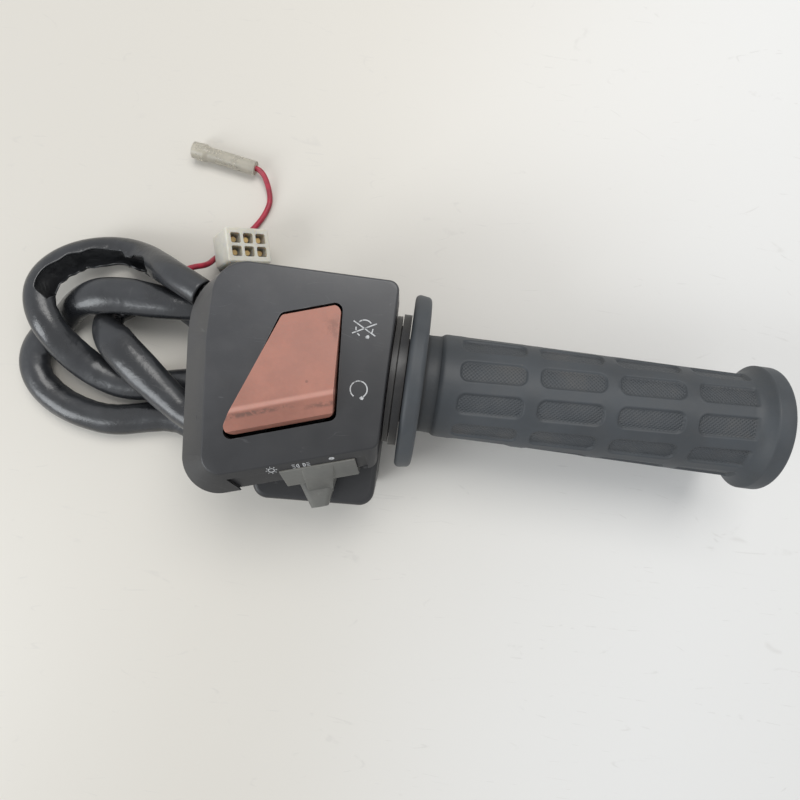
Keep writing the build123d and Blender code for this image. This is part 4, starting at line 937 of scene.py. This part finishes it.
def ramp(t):
    """0 below 0 and 1 above 1, smoothly between them."""
    t = np.clip(t, 0, 1)
    return t * t * (3 - 2 * t)


def hump(value, start, end, soft):
    """1 between start and end, falling smoothly to 0 over soft outside them."""
    return ramp((value - start) / soft + 1) * ramp((end - value) / soft + 1)


def wave(x):
    """A sine between 0 and 1."""
    return 0.5 + 0.5 * np.sin(x)


def round_line(line, side, up, across, rise):
    """Rings of points round a line, from their distances along the side and up vectors."""
    return line[:, None] + side[:, None] * across[..., None] + up[:, None] * rise[..., None]


def sheath_mesh(line, place, skin):
    """Vertices and faces of the split, wrinkled sheath, and the count of its outer vertices."""
    wide, high, lean = (smooth_rows(np.interp(place, SHEATH_FORM[:, 0], SHEATH_FORM[:, k]), 4)[:, None] * MM
                        for k in (1, 2, 3))
    tangent, side, up = sections(line)
    bend = smooth_rows(np.gradient(tangent, axis=0), 3)
    tightness = np.linalg.norm(bend, axis=1)[:, None]
    inward = bend / np.maximum(tightness, 1e-9)
    step = np.linalg.norm(line[1] - line[0])
    run = np.arange(len(line))[:, None] * step / MM
    torn = np.max([gape * hump(place, start, end, soft) for start, end, soft, gape in TEARS], axis=0)[:, None]
    # the split's two edges, as angles from the side vector, and the ring that runs round between them
    scallop = wave(run * 0.55 + 1.3 * np.sin(run * 0.21))
    lower = np.radians(42 - 84 * torn + 34 * (1 - scallop) * torn)
    upper = np.where(torn > 0.001, np.radians(42 + 50 * torn - 7 * scallop * torn), lower)
    part = np.linspace(0, 1, SIDES + 1)
    theta = upper + part * (2 * math.pi - (upper - lower))
    # a flattened tube has sharper edges than an ellipse
    flat = np.clip((wide - high) / (wide + high) * 2.0, 0, 0.6)
    across, sine = np.cos(theta), np.sin(theta)
    rise = np.sign(sine) * np.abs(sine) ** (1 + 0.55 * flat)
    # pleats inside the bends, slow waves, dents, and a lip along the split
    facing = across * np.sum(side * inward, 1)[:, None] + sine * np.sum(up * inward, 1)[:, None]
    folds = wave(run * 1.15 + 1.6 * np.sin(run * 0.13) + 0.5 * np.sin(theta * 2)) ** 2
    pleat = -0.085 * folds * np.clip(facing, 0, 1) ** 1.5 * np.clip(tightness / step * 0.0085, 0, 1)
    slow = 0.035 * ripple(11, run * 0.16, 2.2 * across, 2.2 * sine)
    dent = 0.02 * ripple(5, run * 0.5, 4 * across, 4 * sine)
    lip = 0.07 * torn * (np.exp(-((1 - part) / 0.05) ** 2) * (0.4 + 0.6 * scallop)
                         + 0.25 * np.exp(-(part / 0.04) ** 2))
    # a pinched fold where the first strand turns under the others
    pinch = 1 - 0.17 * hump(place, *PINCH)[:, None] * np.exp(-((facing - 0.75) / 0.32) ** 2)
    shape = (1 + pleat + slow + dent + lip) * pinch
    creases = -0.1 * torn * wave(run * 1.45 + 0.8 * np.sin(run * 0.4)) ** 3
    creased = shape * (1 + 2 * creases * np.clip(-across, 0, 1))
    outer, inner = (
        round_line(line, side, up, (wide - inset) * form * across + lean, (high - inset) * form * rise)
        for inset, form in ((0.0, shape), (skin, creased)))

    # outer wall, inner wall from the tear to the mouth, and strips that join their edges
    count, ring = len(line), SIDES + 1
    first = int(np.argmax(place > INNER_START))
    base, end = count * ring, (count - 1) * ring
    end_in = base + end - first * ring
    faces = grid_faces(count, ring, closed=False)
    faces += [tuple(base + k for k in reversed(f)) for f in grid_faces(count - first, ring, closed=False)]
    for i in range(first, count - 1):
        if torn[i, 0] > 0.001 or torn[i + 1, 0] > 0.001:
            p, q = i * ring, base + (i - first) * ring
            faces.append((p, p + ring, q + ring, q))
            faces.append((p + ring + SIDES, p + SIDES, q + SIDES, q + ring + SIDES))
    faces += [(end + j, end + j + 1, end_in + j + 1, end_in + j) for j in range(SIDES)]
    faces += [tuple(range(SIDES)), tuple(base + j for j in reversed(range(SIDES)))]
    return np.vstack([outer.reshape(-1, 3), inner[first:].reshape(-1, 3)]), faces, base


def tape_mesh(core):
    """Vertices and faces of the taped wires that show through the tear and in the mouth."""
    _, side, up = sections(core)
    run = np.arange(len(core))[:, None] * (SPACING / MM)
    theta = full_turn(TAPE_SIDES)
    wrap = 0.16 * np.abs(np.sin(run * 0.42 + theta * 0.5)) ** 0.5
    radius = (TAPE_RADIUS + wrap + 0.18 * ripple(8, run * 0.3, 2 * np.cos(theta), 2 * np.sin(theta))) * MM
    aside, above = (shift * MM for shift in TAPE_SHIFT)
    tube = round_line(core, side, up, radius * np.cos(theta) + aside, radius * np.sin(theta) + above)
    last = (len(core) - 1) * TAPE_SIDES
    caps = [tuple(reversed(range(TAPE_SIDES))), tuple(range(last, last + TAPE_SIDES))]
    return tube.reshape(-1, 3), grid_faces(len(core), TAPE_SIDES) + caps


def vinyl_material(look):
    """Glossy soft black vinyl with a thin film of dust."""
    made, tree = blank_material("sheath_vinyl")
    body, mottle = mottled(noise(tree, 70.0, 3.0, 0.5), look.vinyl, toned(look.vinyl, 1.7, 0.004), 0.35, 0.65)
    dusty = use(tree, "dust", Amount=0.14, Specks=0.3, Reach=0.003)[0]
    body = mix(dusty * 0.5, body, (0.2, 0.19, 0.17))
    body = mix(use(tree, "hairlines", Amount=0.35, Scale=45.0)[0], body, (0.09, 0.09, 0.09))
    gloss = clamped(mottle * 0.1 + 0.24 + dusty * 0.35)
    height = noise(tree, 240.0, 4.0, 0.55, warp=0.6) + noise(tree, 1500.0, 2.0) * 0.06
    return finish_with(made, body, gloss, height, 0.0005, 0.45, Coat_Weight=0.2, Coat_Roughness=0.12)


def cloudy_finish(name, dark, light, cloud, gloss, bumps, depth, strength, grime=None, **plain):
    """Mottled finish. Cloud and bumps are the settings of a noise, and gloss is the
    roughness, its swing, and its own noise where it does not follow the mottle."""
    made, tree = blank_material(name)
    body, mottle = mottled(noise(tree, *cloud), dark, light)
    if grime:
        body = mix(use(tree, "dust", Amount=0.5, Specks=0.2, Reach=0.003)[0] * 0.6, body, grime)
    rough, swing, *own = gloss
    swung = (noise(tree, *own) if own else mottle) * swing + rough
    return finish_with(made, body, swung, noise(tree, *bumps), depth, strength, **plain)


def wire_material(name, base):
    """Satin insulation with a little grime."""
    return cloudy_finish(name, base, toned(base, 0.6, 0.006), (420.0, 4.0, 0.6), (0.28, 0.2, 300.0),
                         (2600.0,), 0.00003, 0.5)


class SHEATH_OT_build(bpy.types.Operator):
    """Loose black vinyl sheath along its route, split open where it has torn"""
    bl_idname = "throttle_grip.build_sheath"
    bl_label = "Build the harness sheath"

    def execute(self, context):
        look = settings("grip_harness")
        line, place = smooth_line("sheath_line", SHEATH_POINTS, SPACING)
        verts, faces, outer_count = sheath_mesh(line, place, look.skin)
        sheath = add_piece("harness_sheath_skin", verts, faces, True, vinyl_material(look), "housing",
                           "sheath", "harness_sheath")
        # inner wall: the vinyl painted darker than outside, as painted shade inside the tear
        inside = cloudy_finish("sheath_inside", look.vinyl, toned(look.vinyl, 0.5), (120.0,), (0.6, 0.0),
                               (200.0, 3.0, 0.5, None, 0.6), 0.0009, 0.7)
        sheath.data.materials.append(inside)
        for face in sheath.data.polygons:
            face.material_index = 1 if min(face.vertices) >= outer_count else 0

        def join(form):
            bmesh.ops.remove_doubles(form, verts=form.verts, dist=1e-7)
            bmesh.ops.recalc_face_normals(form, faces=form.faces)

        rework(sheath.data, join)
        core = line[(place > TAPE_START) & (place < TAPE_END)]
        cloth = cloudy_finish("harness_tape", toned(look.black, 0.4), look.black, (300.0, 4.0),
                              (0.7, 0.2, 5200.0, 1.0), (5200.0, 1.0), 0.00008, 0.7)
        tape = add_piece("harness_tape", *tape_mesh(core), True, cloth, "housing", "wire_black")
        rubber = cloudy_finish("grommet_rubber", look.rubber, toned(look.rubber, 1.8), (180.0, 4.0),
                               (0.55, 0.0), (2400.0,), 0.00005, 0.6)
        dress(rubber, "harness_grommet")
        pieces = [tape, NODES["harness_grommet"], NODES["connector_housing"], NODES["connector_terminals"]]
        pieces += [bpy.data.objects[f"wire_{number}"] for number in range(1, 5)]
        return {"FINISHED"}


def wire_curve(name, points, diameter, material, slot, replaced):
    """A round wire along a smooth spline."""
    obj = spline_curve(name, points)
    obj.data.bevel_depth = diameter / 2
    obj.data.bevel_resolution = 4
    obj.data.use_fill_caps = True
    return belongs(obj, material, "housing", slot, replaced)


def placer(origin, z_dir, x_dir):
    """A function that gives the point at x, y and z in a small frame, in millimetres."""
    z = np.array(z_dir, float) / np.linalg.norm(z_dir)
    x = x_dir - z * (x_dir @ z)
    x = x / np.linalg.norm(x)
    axes = np.array((x, np.cross(z, x), z))
    return lambda *spot: origin + spot @ axes


# The connector's middle, its length and its width; black wires as (place in the mouth, lane behind the
# connector, cell), all in millimetres
PLUG = ((-54.9, 40.0, -13.2), (0.58, 0.16, 0.80), np.array((0.774, 0.201, -0.601)))
RUNS = (((1.2, -2.2), -4.9, (-4.6, -2.3)), ((1.2, 0.0), 0.0, (0.0, -2.3)), ((1.2, 2.2), 4.9, (4.6, -2.3)),
        ((-1.2, 0.0), 2.45, (0.0, 2.3)))
BEND = np.array((-58.4, 21.8, -11.4))


class WIRES_OT_build(bpy.types.Operator):
    """Connector wires, the red lead, the milky connector and the bullet terminal's sleeve"""
    bl_idname = "throttle_grip.build_wires"
    bl_label = "Build the wires and connectors"

    def execute(self, context):
        look = settings("grip_harness")
        before, mouth = np.array(SHEATH_POINTS[-2:])
        opening, plug = placer(mouth, mouth - before, np.array((0, 0, 1))), placer(*PLUG)
        black = wire_material("wire_black", look.black)
        for number, (spot, lane, cell) in enumerate(RUNS, 1):
            points = [opening(*spot, 0), opening(*spot, 4.4 + 0.62 * spot[1])]
            points.append(BEND + (0.62 * lane, 0.5 * spot[0], 0.9 * spot[0]))
            if cell[1] > 0:
                points += [plug(lane - 0.4, -9.2, -8.6), plug(lane, -8.4, -15.4), plug(lane, -0.4, -16.8)]
            else:
                points += [plug(lane - 0.4, -8.1, -8.6), plug(0.55 * lane + 0.45 * cell[0], -7.4, -14.6)]
            points += [plug(*cell, -17.0), plug(*cell, -12.0)]
            wire_curve(f"wire_{number}", points, look.wire, black, "wire_black", "connector_wires")
        red = wire_material("wire_red", look.red)
        lead = wire_curve("red_lead_wire", RED_POINTS, look.lead, red, "wire_red", "red_lead")
        nylon = cloudy_finish("connector_nylon", toned(look.housing, 0.88), look.housing, (160.0, 4.0, 0.6),
                              (0.3, 0.15), (1200.0,), 0.00003, 0.4, (0.25, 0.2, 0.12), Subsurface_Weight=0.5,
                              Subsurface_Scale=0.003, Subsurface_Radius=(1.0, 0.8, 0.5))
        dress(nylon, "connector_housing")
        clear = cloudy_finish("sleeve_clear", toned(look.sleeve, 0.9), look.sleeve, (260.0, 4.0, 0.6),
                              (0.25, 0.2), (500.0,), 0.00004, 0.4, Transmission_Weight=0.45, IOR=1.45)
        dress(clear, "bullet_sleeve")
        return {"FINISHED"}


# ---- stage ----
BOARD_HALF = 1.6
# Lamps: name, place, what it aims at, width, depth, power against the key light's, colour
LAMPS = (("window_light", (0.10, 0.42, 0.80), (-0.02, 0, 0), 0.6, 0.45, 1.0, (1.0, 0.985, 0.96)),
         ("door_light", (-0.62, -0.40, 0.42), (-0.05, 0, 0), 0.3, 0.5, 0.66, (0.93, 0.97, 1.0)))
ROOM_TINT = (0.95, 0.97, 1.0)
CAMERA_X, CAMERA_Y, SENSOR = 4.4 * MM, -6.5 * MM, 36


def board_material(look):
    """Pale painted board, a little marked and scuffed."""
    made, tree = blank_material("painted_board")
    cloud = noise(tree, 2.2, 3.0, 0.5)
    # painted light: the board's colour grades across it from the darker warm inboard tint to the paler
    # outboard one
    across = axes_of(place_of(tree))["X"] + (cloud * 0.12 - 0.06)
    body, _ = mottled(across, look.floor, look.floor_far, -0.05, 0.14)
    marks = steps(cells(tree, 14.0), 0.03, 0.012) * steps(noise(tree, 9.0), 0.52, 0.6)
    body = mix(marks * 0.35, body, (0.35, 0.3, 0.24))
    body = mix(use(tree, "hairlines", Amount=0.25, Scale=9.0)[0], body, (0.55, 0.53, 0.5))
    return finish_with(made, body, cloud * 0.2 + 0.35, noise(tree, 60.0, 4.0), 0.0003, 0.3)


class STAGE_OT_build(bpy.types.Operator):
    """Pale painted board, soft window light, room light and the camera above"""
    bl_idname = "throttle_grip.build_stage"
    bl_label = "Build the stage"

    def execute(self, context):
        look, scene = settings("grip_stage"), context.scene
        mesh = bpy.data.meshes.new("board")
        size, z = BOARD_HALF, look.floor_z
        corners = [(-size, -size, z), (size, -size, z), (size, size, z), (-size, size, z)]
        mesh.from_pydata(corners, [], [(0, 1, 2, 3)])
        mesh.materials.append(board_material(look))
        new_object("board", mesh)
        for name, spot, aim, width, depth, power, tint in LAMPS:
            light = bpy.data.lights.new(name, "AREA")
            light.shape, light.size, light.size_y = "RECTANGLE", width, depth
            light.energy, light.color = look.key * power, tint
            lamp = new_object(name, light)
            lamp.location = spot
            lamp.rotation_mode = "QUATERNION"
            lamp.rotation_quaternion = (Vector(aim) - Vector(spot)).to_track_quat("-Z", "Y")
        # the room looks brighter to the camera and in reflections than it lights
        scene.world = bpy.data.worlds.new("room")
        scene.world.use_nodes = True
        tree = scene.world.node_tree
        back = tree.nodes["Background"]
        feed(ROOM_TINT, back.inputs["Color"])
        path = put(tree, "ShaderNodeLightPath")
        seen = [path[f"Is {kind} Ray"] for kind in ("Camera", "Transmission", "Glossy")]
        feed(highest(*seen, look.fill), back.inputs["Strength"])
        camera = bpy.data.cameras.new("camera")
        camera.sensor_width, camera.lens = SENSOR, look.lens
        camera.clip_start, camera.clip_end = 0.005, 20
        scene.camera = new_object("camera", camera)
        scene.camera.location = (CAMERA_X, CAMERA_Y, look.height)
        scene.camera.rotation_euler = (0, 0, look.roll)
        scene.view_settings.view_transform = "Standard"
        return {"FINISHED"}


# ---- panel and start ----
OPERATORS = (WIRES_OT_build, SHEATH_OT_build, CASE_OT_paint, SYMBOLS_OT_print, ROCKER_OT_finish,
             SLIDER_OT_finish, METALS_OT_finish, RUBBER_OT_build, STAGE_OT_build)
GROUPS = (("grip_rubber", GripSettings), ("grip_case", CaseSettings), ("grip_harness", HarnessSettings),
          ("grip_stage", StageSettings))


class VIEW3D_PT_throttle_grip(bpy.types.Panel):
    """Sizes, colours and build steps of the throttle grip"""
    bl_label = "Throttle Grip"
    bl_idname = "VIEW3D_PT_throttle_grip"
    bl_space_type = "VIEW_3D"
    bl_region_type = "UI"
    bl_category = "Throttle Grip"

    def draw(self, context):
        column = self.layout.column()
        for kind in OPERATORS:
            column.operator(kind.bl_idname)
        for name, kind in GROUPS:
            box = self.layout.box()
            for field in kind.__annotations__:
                box.prop(getattr(context.scene, name), field)


def register():
    for name, kind in GROUPS:
        bpy.utils.register_class(kind)
        setattr(bpy.types.Scene, name, PointerProperty(type=kind))
    for kind in (*OPERATORS, VIEW3D_PT_throttle_grip):
        bpy.utils.register_class(kind)


def unregister():
    for kind in reversed((*OPERATORS, VIEW3D_PT_throttle_grip)):
        bpy.utils.unregister_class(kind)
    for name, kind in reversed(GROUPS):
        delattr(bpy.types.Scene, name)
        bpy.utils.unregister_class(kind)


def main():
    register()
    for kind in OPERATORS:
        area, step = kind.bl_idname.split(".")
        getattr(getattr(bpy.ops, area), step)()


if __name__ == "__main__":
    main()
